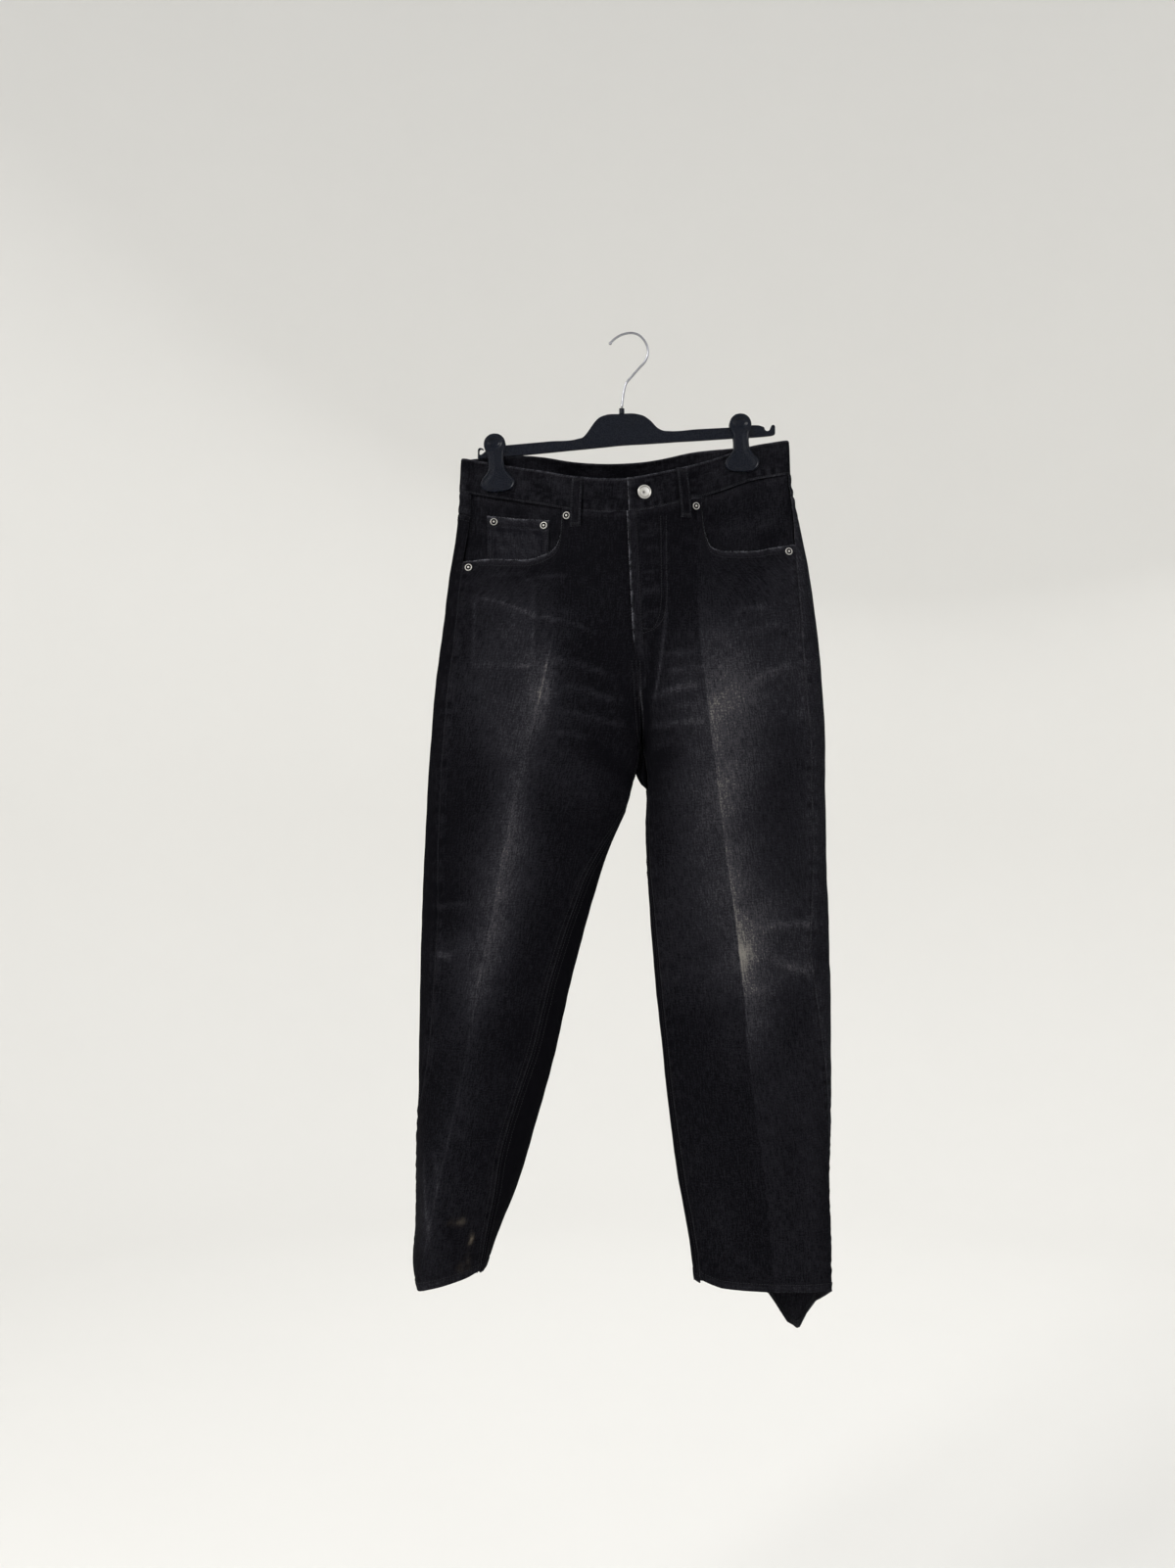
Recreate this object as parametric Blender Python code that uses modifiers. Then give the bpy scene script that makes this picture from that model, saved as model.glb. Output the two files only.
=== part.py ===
"""Boyfriend jeans hanging from a clip hanger, as a Blender 4.5 scene.

Run with: blender --background --python part.py

Sizes are in millimetres and become metres when a mesh is made. The origin is the
underside of the hook's crown, where the hanger hangs. +Z is up, the front of the jeans
faces -Y, and +X is the viewer's right, which is the wearer's left. A "drop" is a depth
below the origin, so z = -drop. The jeans hang a little askew, as cloth on a tilted
hanger does, so the two legs have tables of their own.
"""

import math

import bmesh
import bpy
import numpy as np
from mathutils import Vector

MM = 0.001
DENIM_WALL = 1.2
BAND_WALL = 2.5
POCKET_WALL = 1.0
LOOP_WALL = 1.6
SEAM_GAP = 0.35
BAND_GAP = 0.5
LAYER_GAP = 0.3
LOOSE_GAP = 0.75
CROTCH_GAP = 3.2
CROTCH_GAP_REACH = 35.0

BAND_HEIGHT = 42.0
CROTCH_DROP = 500.0
FRONT_FALL_DROP = 330.0
BACK_FALL_DROP = 350.0
FRONT_CENTRE_DEPTH = 40.0
BACK_CENTRE_DEPTH = 44.0
CREASE_SHARPNESS = 0.25
CREASE_START_DROP = 450.0

CLIPPED_DEPTH = BAND_WALL + 0.5
CLIP_FLAT_HALF_WIDTH = 27.0
WAIST_BULGE = 33.0
WAIST_SWELL = 1.35
SIDE_ROUND = 7.0
HIP_REACH = 150.0

LAP_WIDTH = 40.0
LAP_EASE = 22.0
FLY_TOP = 226.0
FLY_DROP = 404.0
FLY_STAND_BACK = 8.0

COIN_DEPTH = DENIM_WALL + LAYER_GAP
FACING_DEPTH = COIN_DEPTH + POCKET_WALL + LOOSE_GAP
LAP_DEPTH = DENIM_WALL + LOOSE_GAP
FACING_LAP = 14.0

LEVEL_DROP = 350.0
LAST_LEVEL_DROP = 1100.0
LEVEL_STEPS = 19
TOP_STEPS = 6
HEM_STEPS = 2
SETTLED_DROP = 430.0
BAND_COLUMNS = 25
HALVINGS = 26

# The drops at which places round the waistband, yoke, pockets and hem are read.
BAND_LEVEL = 200.0
YOKE_LEVEL = 230.0
POCKET_LEVEL = 250.0
HEM_LEVEL = 1150.0

POCKET_WIDTH = 148.0
POCKET_TAPER = 14.0
POCKET_SIDE = 140.0
POCKET_POINT = 20.0

LOOP_WIDTH = 13.0
LOOP_LENGTH = 60.0
LOOP_BOW = 2.0

RIVET_RADIUS = 4.4
RIVET_HEIGHT = 1.6
BUTTON_RADIUS = 8.5
BUTTON_HEIGHT = 4.5
STUD_TAPER = 0.86

WIRE_RADIUS = 1.5
BAR_THICKNESS = 5.4
CLIP_THICKNESS = 13.6
CLIP_SLOT = 6.6
CLIP_HEIGHT = 58.4

DENIM = ((0.012, 0.012, 0.014), 0.9, 0.0)
WORN_DENIM = ((0.030, 0.029, 0.028), 0.9, 0.0)
BLACK_PLASTIC = ((0.008, 0.009, 0.012), 0.35, 0.0)
STEEL = ((0.55, 0.56, 0.57), 0.3, 1.0)
SILVER = ((0.78, 0.77, 0.74), 0.35, 1.0)


def table(names, *rows):
    """A table as a dictionary of columns; its first column is the place of each row."""
    return dict(zip(names.split(), np.array(rows, float).T))


RIGHT_LEG = table(
    "drop outer_x front_x front_y inner_x inner_y back_x back_y",
    (150, -208, -92, -38, 12, 0, -95, 42),
    (230, -213, -92, -39, 12, 0, -95, 44),
    (300, -224, -92, -41, 12, 0, -96, 45),
    (360, -231, -94, -43, 12, 0, -98, 46),
    (430, -240, -108, -44, 12, 0, -105, 46),
    (500, -246, -124, -45, 11, 0, -114, 46),
    (560, -250, -139, -46, -2, 0, -124, 46),
    (640, -254, -156, -47, -32, 0, -137, 46),
    (720, -257, -170, -48, -55, -1, -148, 47),
    (800, -259, -187, -51, -76, -3, -160, 49),
    (880, -260, -200, -55, -94, -5, -172, 52),
    (960, -262, -216, -62, -115, -8, -184, 56),
    (1040, -263, -234, -70, -140, -12, -194, 61),
    (1100, -263, -244, -76, -164, -16, -202, 66),
    (1160, -259, -247, -82, -184, -20, -208, 70),
)

LEFT_LEG = table(
    "drop outer_x front_x front_y inner_x inner_y back_x back_y",
    (130, 192, 79, -36, 12, 0, 85, 40),
    (190, 196, 79, -37, 12, 0, 85, 42),
    (240, 207, 79, -39, 12, 0, 85, 43),
    (300, 218, 79, -40, 12, 0, 86, 44),
    (360, 227, 80, -42, 12, 0, 88, 45),
    (430, 233, 88, -43, 12, 0, 92, 45),
    (500, 237, 96, -44, 13, 0, 98, 45),
    (560, 237, 104, -44, 20, 0, 106, 45),
    (640, 239, 114, -44, 19, 0, 117, 44),
    (720, 242, 125, -43, 23, 0, 130, 43),
    (800, 244, 134, -41, 30, 0, 142, 41),
    (880, 244, 140, -39, 38, 0, 153, 40),
    (960, 244, 151, -36, 47, 0, 165, 39),
    (1040, 242, 162, -33, 58, 0, 178, 39),
    (1100, 244, 168, -31, 69, 0, 188, 40),
    (1160, 245, 172, -29, 76, 0, 198, 42),
    (1240, 245, 174, -28, 79, 0, 206, 44),
)

CENTRE = table(
    "drop across",
    (150, -8), (220, -4), (300, 0), (360, 3), (430, 9), (500, 12), (560, 12),
)

WAIST_TOP = table(
    "across front_drop back_drop",
    (-208, 153, 153),
    (-163, 160, 151),
    (-110, 169, 149),
    (-71, 178, 152),
    (-7, 182, 152),
    (45, 171, 149),
    (78, 161, 144),
    (111, 150, 141),
    (146, 138, 137),
    (192, 131, 131),
)

YOKE_SEAM = table("across drop", (-212, 220), (-4, 262), (200, 199))

OUTSEAM = table(
    "drop right_in left_in",
    (150, 8, 3), (200, 14, 3), (260, 15, 12), (330, 16, 19), (400, 17, 22), (540, 17, 19),
    (620, 18, 18), (760, 20, 25), (840, 17, 16), (890, 12, 9), (950, 2, 4), (1010, 0, 0),
)

INSEAM = table(
    "drop right_in left_in",
    (500, 0, 0), (600, 2, 2), (660, 16, 3), (700, 20, 5), (780, 25, 6), (870, 27, 6),
    (930, 32, 6), (1000, 32, 7), (1045, 24, 7), (1120, 9, 7), (1160, 3, 7),
)

RIGHT_HEM = table(
    "place drop",
    (-1, 1140), (-0.75, 1152), (-0.5, 1162), (-0.25, 1160), (0, 1156), (0.5, 1148), (1, 1140),
)
LEFT_HEM = table(
    "place drop",
    (-1, 1158), (-0.72, 1172), (-0.60, 1186), (-0.55, 1206), (-0.51, 1232), (-0.46, 1232),
    (-0.40, 1212), (-0.25, 1190), (0, 1170), (0.5, 1165), (1, 1158),
)

# Each pocket's scoop, from the outseam to the waist seam, as (across, drop).
RIGHT_SCOOP = (
    (-206, 281), (-173, 278), (-144, 279), (-122, 278), (-107, 273), (-94, 265), (-88, 253), (-86, 240),
    (-84, 218),
)
LEFT_SCOOP = (
    (197, 260), (166, 265), (152, 268), (129, 269), (108, 268), (96, 263), (91, 253), (87, 234),
    (85, 202),
)

COIN_POCKET = table("across top_drop", (-177, 223), (-101, 230))
COIN_BOTTOM_DROP = 291.0

FOLDS = table(
    "face across drop reach half_width angle rise",
    (1, -70, 545, 80, 34, 24, 3.0),
    (1, 90, 552, 75, 34, -24, 3.0),
    (1, -205, 712, 60, 34, 12, -2.5),
    (1, 195, 765, 55, 34, -14, -3.0),
    (-1, -80, 565, 85, 36, 26, 4.0),
    (-1, 90, 560, 85, 36, -26, 4.0),
    (-1, -150, 790, 90, 38, 8, -4.0),
    (-1, 140, 800, 90, 38, -8, -4.0),
)

BACK_POCKETS = (("back_pocket_right", -112.0, 24.0), ("back_pocket_left", 98.0, 26.0))

# Belt loops: across at the top, lean to the foot, and 1 in front or -1 behind.
BELT_LOOPS = ((-65.5, -3.0, 1), (60.0, 6.0, 1), (92.0, 7.0, -1), (-4.0, 2.0, -1), (-122.0, -4.0, -1))

# Rivets: across, drop, and how deep the layer lies that each one goes through.
RIVETS = (
    (-79.2, 225.5, 0.0),
    (-168.5, 230.5, COIN_DEPTH),
    (-107.5, 236.0, COIN_DEPTH),
    (-198.5, 288.0, 0.0),
    (78.0, 212.5, 0.0),
    (190.5, 268.5, 0.0),
)
BUTTON_PLACE = (14.0, 199.0)

# The hook's wire, from its open tip to the collar, as (across, drop).
HOOK_ROUTE = (
    (-27.6, 13.0), (-22, 6.8), (-16, 2.6), (-8.5, -0.4), (0, -1.5), (7.6, 0.4), (15.4, 7.5),
    (19.3, 15.5), (20, 24), (16.7, 33), (7.6, 43.4), (-1.6, 54), (-6.7, 60.5), (-8.7, 67),
    (-10.9, 80), (-12, 90.6),
)
# The moulded bar from the front: bottom edge, right end's notch, hump and collar, left end's notch.
HANGER_OUTLINE = (
    (-189, 151), (-146, 149.3), (-60, 141.5), (-18, 137), (23, 133.5), (100, 128.5), (176, 124),
    (176, 112), (171, 111), (169, 118), (163, 118), (160, 113), (120, 116), (40, 119.5),
    (31, 112), (24, 103.5), (12, 98.5), (-8.5, 98), (-8.5, 91), (-15.5, 91), (-15.5, 98),
    (-35, 99.5), (-47, 106), (-53, 116), (-62, 127), (-150, 137.5), (-172, 139), (-175, 145),
    (-181, 145.5), (-183, 138.5), (-189, 139.5),
)

# Clips: name, head's centre across and drop, lean in degrees, and how far down the slot starts.
CLIPS = (("clip_right", -167.5, 134.0, 4.5, 3.5), ("clip_left", 133.0, 109.0, 2.5, 4.5))
CLIP_OUTLINE = table(
    "below half_width",
    (-13.4, 0.0), (-12.6, 5), (-9, 10), (-4, 12.8), (1, 13.4), (6, 12), (10, 9.6), (16, 8.8),
    (24, 8.9), (31, 10), (37, 14.5), (42, 19), (47, 20.8), (52, 20), (56, 16.5), (58, 9),
)


def smooth(rows, column, at):
    """A cubic curve through one column of a table, read at any places and level past its ends."""
    place, value = next(iter(rows.values())), rows[column]
    slope = np.gradient(value, place)
    at = np.clip(np.asarray(at, float), place[0], place[-1])
    low = np.clip(np.searchsorted(place, at, side="right") - 1, 0, len(place) - 2)
    span = place[low + 1] - place[low]
    t = (at - place[low]) / span
    level = (2 * t**3 - 3 * t**2 + 1) * value[low] + (3 * t**2 - 2 * t**3) * value[low + 1]
    return level + span * ((t**3 - 2 * t**2 + t) * slope[low] + (t**3 - t**2) * slope[low + 1])


def ease(x):
    """0 below 0, 1 above 1, and a smooth step between."""
    x = np.clip(x, 0.0, 1.0)
    return x * x * (3 - 2 * x)


class Leg:
    """One leg's tables. Its turn is 1 where places on the front grow towards +X, else -1."""

    def __init__(self, rows, hem, scoop, seam_column, clip_x, turn):
        self.rows = rows
        self.hem = hem
        self.scoop = scoop
        self.seam_column = seam_column
        self.clip_x = clip_x
        self.turn = turn


RIGHT = Leg(RIGHT_LEG, RIGHT_HEM, RIGHT_SCOOP, "right_in", -163.0, 1)
LEFT = Leg(LEFT_LEG, LEFT_HEM, LEFT_SCOOP, "left_in", 135.0, -1)


def centre_depth(front, drop):
    """Half the hips' depth at the centre seam: a quarter ellipse that closes at the crotch."""
    fall = np.where(front, FRONT_FALL_DROP, BACK_FALL_DROP)
    full = np.where(front, FRONT_CENTRE_DEPTH, BACK_CENTRE_DEPTH)
    share = np.clip((drop - fall) / (CROTCH_DROP - fall), 0.0, 1.0)
    return full * np.sqrt(1 - share**2)


def waist_top(front, across):
    """The drop of the waistband's top edge, in front or behind."""
    in_front = smooth(WAIST_TOP, "front_drop", across)
    return np.where(front, in_front, smooth(WAIST_TOP, "back_drop", across))


def waist_depth(leg, outer_x, across):
    """Half the waist's depth.

    It starts as a quarter circle at the side, eases down to lie flat under the clip, and
    swells to its full depth midway between the clips.
    """
    edge = np.abs(across - outer_x)
    loop_width = np.abs(outer_x - leg.clip_x) - CLIP_FLAT_HALF_WIDTH
    circle = SIDE_ROUND * np.sqrt(1 - (1 - np.clip(edge / SIDE_ROUND, 0, 1)) ** 2)
    pinch = (SIDE_ROUND - CLIPPED_DEPTH) * ease((edge - SIDE_ROUND) / (loop_width - SIDE_ROUND))
    start = RIGHT.clip_x + CLIP_FLAT_HALF_WIDTH
    end = LEFT.clip_x - CLIP_FLAT_HALF_WIDTH
    share = np.clip((across - start) / (end - start), 0, 1)
    return circle - pinch + WAIST_BULGE * np.sin(math.pi * share) ** WAIST_SWELL


def wrapped(w, drop):
    """Below the crotch a place past the inner side comes round to the other face."""
    in_leg = drop >= CROTCH_DROP
    return np.where(in_leg & (w < -1), w + 2, np.where(in_leg & (w > 1), w - 2, w))


def section(leg, w, drop):
    """A point on the cloth's outer face, before its folds.

    The place w runs once round the leg: 0 at the outer side, 0.5 at the front crease, 1 at
    the inner side or the centre front, and -0.5 and -1 likewise behind. Each quarter is a
    quarter ellipse drawn partly towards its chord, which leaves the pressed creases. Above
    the crotch the inner quarters run level to the centre seam, and near the waist the
    section gives way to the clipped waist's.
    """
    w, drop = np.broadcast_arrays(np.asarray(w, float), np.asarray(drop, float))
    in_leg = drop >= CROTCH_DROP
    w = wrapped(w, drop)
    front = w >= 0
    t = np.abs(w)
    outer_x = smooth(leg.rows, "outer_x", drop)
    mid_x = np.where(front, smooth(leg.rows, "front_x", drop), smooth(leg.rows, "back_x", drop))
    mid_y = np.where(front, smooth(leg.rows, "front_y", drop), smooth(leg.rows, "back_y", drop))
    centre_x = smooth(CENTRE, "across", drop) - leg.turn * SEAM_GAP / 2
    end_x = np.where(in_leg, smooth(leg.rows, "inner_x", drop), centre_x)
    depth = centre_depth(front, drop)
    end_y = np.where(in_leg, smooth(leg.rows, "inner_y", drop), np.where(front, -depth, depth))
    level = depth / np.where(front, FRONT_CENTRE_DEPTH, BACK_CENTRE_DEPTH)
    pull = CREASE_SHARPNESS * ease((drop - CREASE_START_DROP) / HIP_REACH)

    outer_run = 2 * np.minimum(t, 0.5)
    outer_turn = outer_run * math.pi / 2
    outer_share = (1 - pull) * (1 - np.cos(outer_turn)) + pull * outer_run**2
    outer_rise = (1 - pull) * np.sin(outer_turn) + pull * outer_run
    inner_run = 2 * np.maximum(t, 0.5) - 1
    inner_turn = inner_run * math.pi / 2
    inner_share = (1 - pull) * np.sin(inner_turn) + pull * (1 - (1 - inner_run) ** 2)
    inner_share = (1 - level) * inner_share + level * inner_run
    inner_fall = (1 - pull) * (1 - np.cos(inner_turn)) + pull * inner_run
    outer_x_at = outer_x + (mid_x - outer_x) * outer_share
    x = np.where(t < 0.5, outer_x_at, mid_x + (end_x - mid_x) * inner_share)
    y = np.where(t < 0.5, mid_y * outer_rise, mid_y + (end_y - mid_y) * inner_fall)

    hip_share = ease((drop - waist_top(front, x) - BAND_HEIGHT) / HIP_REACH)
    flat_y = np.where(front, -1, 1) * waist_depth(leg, outer_x, x)
    y = np.where(in_leg, y, (1 - hip_share) * flat_y + hip_share * y)
    return np.stack([x, y, -drop], axis=-1)


def fold_height(front, points):
    """The largest folds, each a soft ridge or trough: a long bell along it and a short one across."""
    height = np.zeros(points.shape[:-1])
    for face, across, drop, reach, half_width, angle, rise in zip(*FOLDS.values()):
        turn = math.radians(angle)
        dx = points[..., 0] - across
        dz = -points[..., 2] - drop
        along = dx * math.cos(turn) + dz * math.sin(turn)
        over = dz * math.cos(turn) - dx * math.sin(turn)
        bell = np.exp(-((along / reach) ** 2) - (over / half_width) ** 2)
        height += np.where(front == (face > 0), rise * bell, 0.0)
    return height


def cloth(leg, w, drop, inward=0.0):
    """A point of the cloth: the section with its folds, moved inward along the face's normal."""
    step_w, step_drop = 0.004, 1.0
    w, drop = np.broadcast_arrays(np.asarray(w, float), np.asarray(drop, float))
    w = wrapped(w, drop)
    front = w >= 0
    base = section(leg, w, drop)
    low_w = np.where(front, np.maximum(w - step_w, 0), w - step_w)
    high_w = np.where(front, w + step_w, np.minimum(w + step_w, -1e-6))
    across = section(leg, high_w, drop) - section(leg, low_w, drop)
    down = section(leg, w, drop + step_drop) - section(leg, w, drop - step_drop)
    normal = np.cross(down, across) * leg.turn
    normal /= np.maximum(np.linalg.norm(normal, axis=-1, keepdims=True), 1e-9)
    lift = fold_height(front, base) - np.asarray(inward)
    return base + normal * lift[..., None]


def place_of(leg, front, across, drop):
    """The place w of a point given by how far across it is, found by halving."""
    across, drop = np.broadcast_arrays(np.asarray(across, float), np.asarray(drop, float))
    sign = 1.0 if front else -1.0
    low, high = np.zeros(across.shape), np.ones(across.shape)
    for _ in range(HALVINGS):
        middle = (low + high) / 2
        past = (section(leg, sign * middle, drop)[..., 0] - across) * leg.turn > 0
        low, high = np.where(past, low, middle), np.where(past, middle, high)
    return sign * (low + high) / 2


def hip_cloth(front, across, drop, inward=0.0):
    """A point of the cloth above the crotch, on whichever leg's side it lies."""
    across, drop = np.broadcast_arrays(np.asarray(across, float), np.asarray(drop, float))
    on_right = cloth(RIGHT, place_of(RIGHT, front, across, drop), drop, inward)
    on_left = cloth(LEFT, place_of(LEFT, front, across, drop), drop, inward)
    return np.where((across < smooth(CENTRE, "across", drop))[..., None], on_right, on_left)


def outseam(leg, drop):
    """The place of the outseam, which lies a little in front of the outer side."""
    shift = np.maximum(smooth(OUTSEAM, leg.seam_column, drop), 0)
    return place_of(leg, True, smooth(leg.rows, "outer_x", drop) + leg.turn * shift, drop)


def inner_edge(leg, drop):
    """The place of the front panel's inner edge: the centre seam, then the inseam."""
    shift = np.maximum(smooth(INSEAM, leg.seam_column, drop), 0)
    seam = place_of(leg, True, smooth(leg.rows, "inner_x", drop) - leg.turn * shift, drop)
    return np.where(drop < CROTCH_DROP, 1.0, seam)


def half_gap(leg, w, drop, width=SEAM_GAP):
    """Half a seam's gap, as a step of the place w."""
    step = 0.002
    reach = section(leg, w + step, drop) - section(leg, w - step, drop)
    return width * step / np.maximum(np.linalg.norm(reach, axis=-1), 0.05)


def inseam_gap(leg, w, drop):
    """Half the inseam's gap, wider at the crotch, where the two panels' walls lean together."""
    bell = np.exp(-(((drop - CROTCH_DROP) / CROTCH_GAP_REACH) ** 2))
    return half_gap(leg, w, drop, SEAM_GAP + (CROTCH_GAP - SEAM_GAP) * bell)


def hem_drop(leg, w):
    """The drop of the hem at a place, straight between its rows."""
    return np.interp(np.where(w < -1, w + 2, w), leg.hem["place"], leg.hem["drop"])


def trace(route, shares):
    """Points at the given shares of a smooth route's length, as (across, drop)."""
    points = np.array(route, float)
    run = np.append(0, np.cumsum(np.hypot(*np.diff(points.T))))
    rows = {"run": run, "across": points[:, 0], "drop": points[:, 1]}
    at = np.asarray(shares) * run[-1]
    return smooth(rows, "across", at), smooth(rows, "drop", at)


def panel_drops(top, bottom):
    """Rows of drops down a panel, level in the middle so that both panels share them at a seam."""
    levels = np.linspace(LEVEL_DROP, LAST_LEVEL_DROP, LEVEL_STEPS + 1)[:, None]
    upper = np.linspace(0, 1, TOP_STEPS + 1)[:-1, None]
    lower = np.linspace(0, 1, HEM_STEPS + 1)[1:, None]
    return np.vstack([
        top + (LEVEL_DROP - top) * upper,
        levels + 0 * top,
        LAST_LEVEL_DROP + (bottom - LAST_LEVEL_DROP) * lower,
    ])


def outward(leg, points):
    """Puts a grid's columns in the order that faces it outwards."""
    return points if leg.turn > 0 else points[:, ::-1]


# Shares across half a panel; its first strip is narrow, so that the wall's edge stands square.
HALF_SHARES = np.append(0, np.linspace(0.04, 1, 10))


def front_points(leg):
    """A front panel's grid.

    The columns start along the scoop and the waist seam and settle to run from the outseam
    over the crease, which is the middle column, to the inner edge.
    """
    corner_x = leg.scoop[-1][0]
    centre_x = smooth(CENTRE, "across", FLY_TOP)
    seam_x = centre_x + (corner_x - centre_x) * HALF_SHARES[::-1]
    seam_drop = waist_top(True, seam_x) + BAND_HEIGHT + BAND_GAP
    route = leg.scoop[:-1] + ((corner_x, float(seam_drop[0])),)
    scoop_x, scoop_drop = trace(route, HALF_SHARES)
    top_x = np.append(scoop_x, seam_x[1:])
    top = np.append(scoop_drop, seam_drop[1:])
    top_w = place_of(leg, True, top_x, top)

    u = np.append(HALF_SHARES / 2, 1 - HALF_SHARES[::-1][1:] / 2)
    bottom = hem_drop(leg, u)
    drop = panel_drops(top[None, :], bottom[None, :])
    start = outseam(leg, drop)
    start = start + half_gap(leg, start, drop)
    end = inner_edge(leg, drop)
    end = np.where(drop < CROTCH_DROP, end, end - inseam_gap(leg, end, drop))
    settled = np.where(u < 0.5, start + (0.5 - start) * 2 * u, 0.5 + (end - 0.5) * (2 * u - 1))
    share = ease((drop - top) / (SETTLED_DROP - top))
    w = np.clip((1 - share) * top_w + share * settled, start, end)
    w = np.where(u == 0, start, np.where(u == 1, end, w))
    return outward(leg, cloth(leg, w, drop))


SIDE_STEP = 0.012
BACK_SHARES = np.concatenate([HALF_SHARES, np.linspace(1, 2, 10)[1:], [2.4, 2.88, 3]])


def back_places(leg, drop):
    """Places across the back, from the inner edge over the back crease and the outer side."""
    inner = inner_edge(leg, drop) - 2
    inner = np.where(drop < CROTCH_DROP, -1.0, inner + inseam_gap(leg, inner + 2, drop))
    outer = outseam(leg, drop)
    outer = outer - half_gap(leg, outer, drop)
    side = np.minimum(0.0, outer - SIDE_STEP)
    s = BACK_SHARES
    behind = np.where(s < 1, inner + (-0.5 - inner) * s, -0.5 + (side + 0.5) * (s - 1))
    return np.where(s < 2, behind, side + (outer - side) * (s - 2))


def waist_seam(leg, w):
    """The drop of the waistband's lower edge at a place."""
    w = np.asarray(w, float)
    drop = np.full(w.shape, BAND_LEVEL)
    for _ in range(3):
        drop = waist_top(w >= 0, section(leg, w, drop)[..., 0]) + BAND_HEIGHT
    return drop


def yoke_seam(leg, w):
    """The drop of the yoke's lower seam at a place."""
    return smooth(YOKE_SEAM, "drop", section(leg, w, YOKE_LEVEL)[..., 0])


def back_points(leg):
    """A back panel's grid, from the yoke seam to the hem."""
    top_w = back_places(leg, np.full((1, 1), YOKE_LEVEL))
    top = yoke_seam(leg, top_w) + SEAM_GAP / 2
    bottom_w = back_places(leg, np.full((1, 1), HEM_LEVEL))
    drop = panel_drops(top, hem_drop(leg, bottom_w))
    return outward(leg, cloth(leg, back_places(leg, drop), drop))


def yoke_points(leg):
    """A yoke's grid, from the waist seam to its own seam."""
    w = back_places(leg, np.full((1, 1), YOKE_LEVEL))
    top = waist_seam(leg, w) + BAND_GAP
    bottom = yoke_seam(leg, w) - SEAM_GAP / 2
    drop = top + (bottom - top) * np.linspace(0, 1, 4)[:, None]
    return outward(leg, cloth(leg, back_places(leg, drop), drop))


def band_points():
    """The waistband's grid: from its lapping end at the fly, round the back, to its under end."""
    left_front = np.linspace(1, 0, BAND_COLUMNS)
    back = np.linspace(0, -1, BAND_COLUMNS)
    x_end = BUTTON_PLACE[0] + LAP_WIDTH / 2
    lap_w = place_of(LEFT, True, np.linspace(2, x_end, 5), BAND_LEVEL)
    stations = (
        [(LEFT, w, False) for w in left_front]
        + [(LEFT, w, False) for w in back[1:]]
        + [(RIGHT, w, False) for w in back[::-1][1:]]
        + [(RIGHT, w, False) for w in left_front[::-1][1:]]
        + [(LEFT, w, True) for w in lap_w]
    )
    below = np.linspace(0, BAND_HEIGHT, 4)
    columns = []
    for leg, w, lapped in stations:
        drop = waist_seam(leg, w) - BAND_HEIGHT + below
        x = section(leg, w, drop)[..., 0]
        near = ease((x - smooth(CENTRE, "across", BAND_LEVEL) + LAP_EASE + 4) / LAP_EASE)
        under = near if leg is RIGHT and w > 0 else np.full(4, float(lapped))
        columns.append(cloth(leg, w, drop, under * (BAND_WALL + LAYER_GAP)))
    return np.stack(columns, axis=1)


def fly_stand_points():
    """The under-lap: behind both front panels, from the waist seam to the end of the fly."""
    over = np.array([-FLY_STAND_BACK, -4, 0, 7, 14, 21, 28, LAP_WIDTH - 4])
    shares = np.linspace(0, 1, 10)[:, None]
    top = waist_top(True, smooth(CENTRE, "across", FLY_TOP) + over[None, :]) + BAND_HEIGHT + BAND_GAP
    drop = top + (FLY_DROP - 10 * (over / LAP_WIDTH) ** 2 - top) * shares
    across = smooth(CENTRE, "across", drop) + over + 0.01
    return hip_cloth(True, across, drop, LAP_DEPTH)


def facing_points(leg, depth):
    """A pocket facing: from the waist seam to just below the scoop, tucked behind the front panel."""
    inner_x = leg.scoop[-1][0] + leg.turn * FACING_LAP
    bottom = max(drop for _, drop in leg.scoop) + FACING_LAP
    u, v = np.linspace(0, 1, 14), np.linspace(0, 1, 7)[:, None]
    first = outseam(leg, np.full((1, 1), POCKET_LEVEL))
    last = place_of(leg, True, inner_x, POCKET_LEVEL)
    w = first + (last - first) * u
    top = waist_seam(leg, w) + BAND_GAP
    drop = top + (bottom - top) * v
    start = outseam(leg, drop)
    start = start + half_gap(leg, start, drop)
    w = start + (last - start) * u
    return outward(leg, cloth(leg, w, drop, depth))


def coin_pocket_points():
    """The coin pocket: a patch on the right facing, from its top edge to below the scoop."""
    across = np.linspace(*COIN_POCKET["across"], 8)
    top = smooth(COIN_POCKET, "top_drop", across)
    drop = top + (COIN_BOTTOM_DROP - top) * np.linspace(0, 1, 6)[:, None]
    return hip_cloth(True, across, drop, COIN_DEPTH)


def back_pocket_points(across, below_seam):
    """A back pocket: straight sides that draw in a little, and a pointed lower edge."""
    u, v = np.linspace(-0.5, 0.5, 11), np.linspace(0, 1, 9)[:, None]
    width = POCKET_WIDTH - POCKET_TAPER * v
    x = across + u * width
    top = smooth(YOKE_SEAM, "drop", across + u * POCKET_WIDTH) + below_seam
    length = POCKET_SIDE + POCKET_POINT * (1 - 2 * np.abs(u))
    leg = RIGHT if across < 0 else LEFT
    drop = top + length * v
    points = cloth(leg, place_of(leg, False, x, drop), drop, -POCKET_WALL - LOOSE_GAP)
    return points[:, ::-1]


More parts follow.
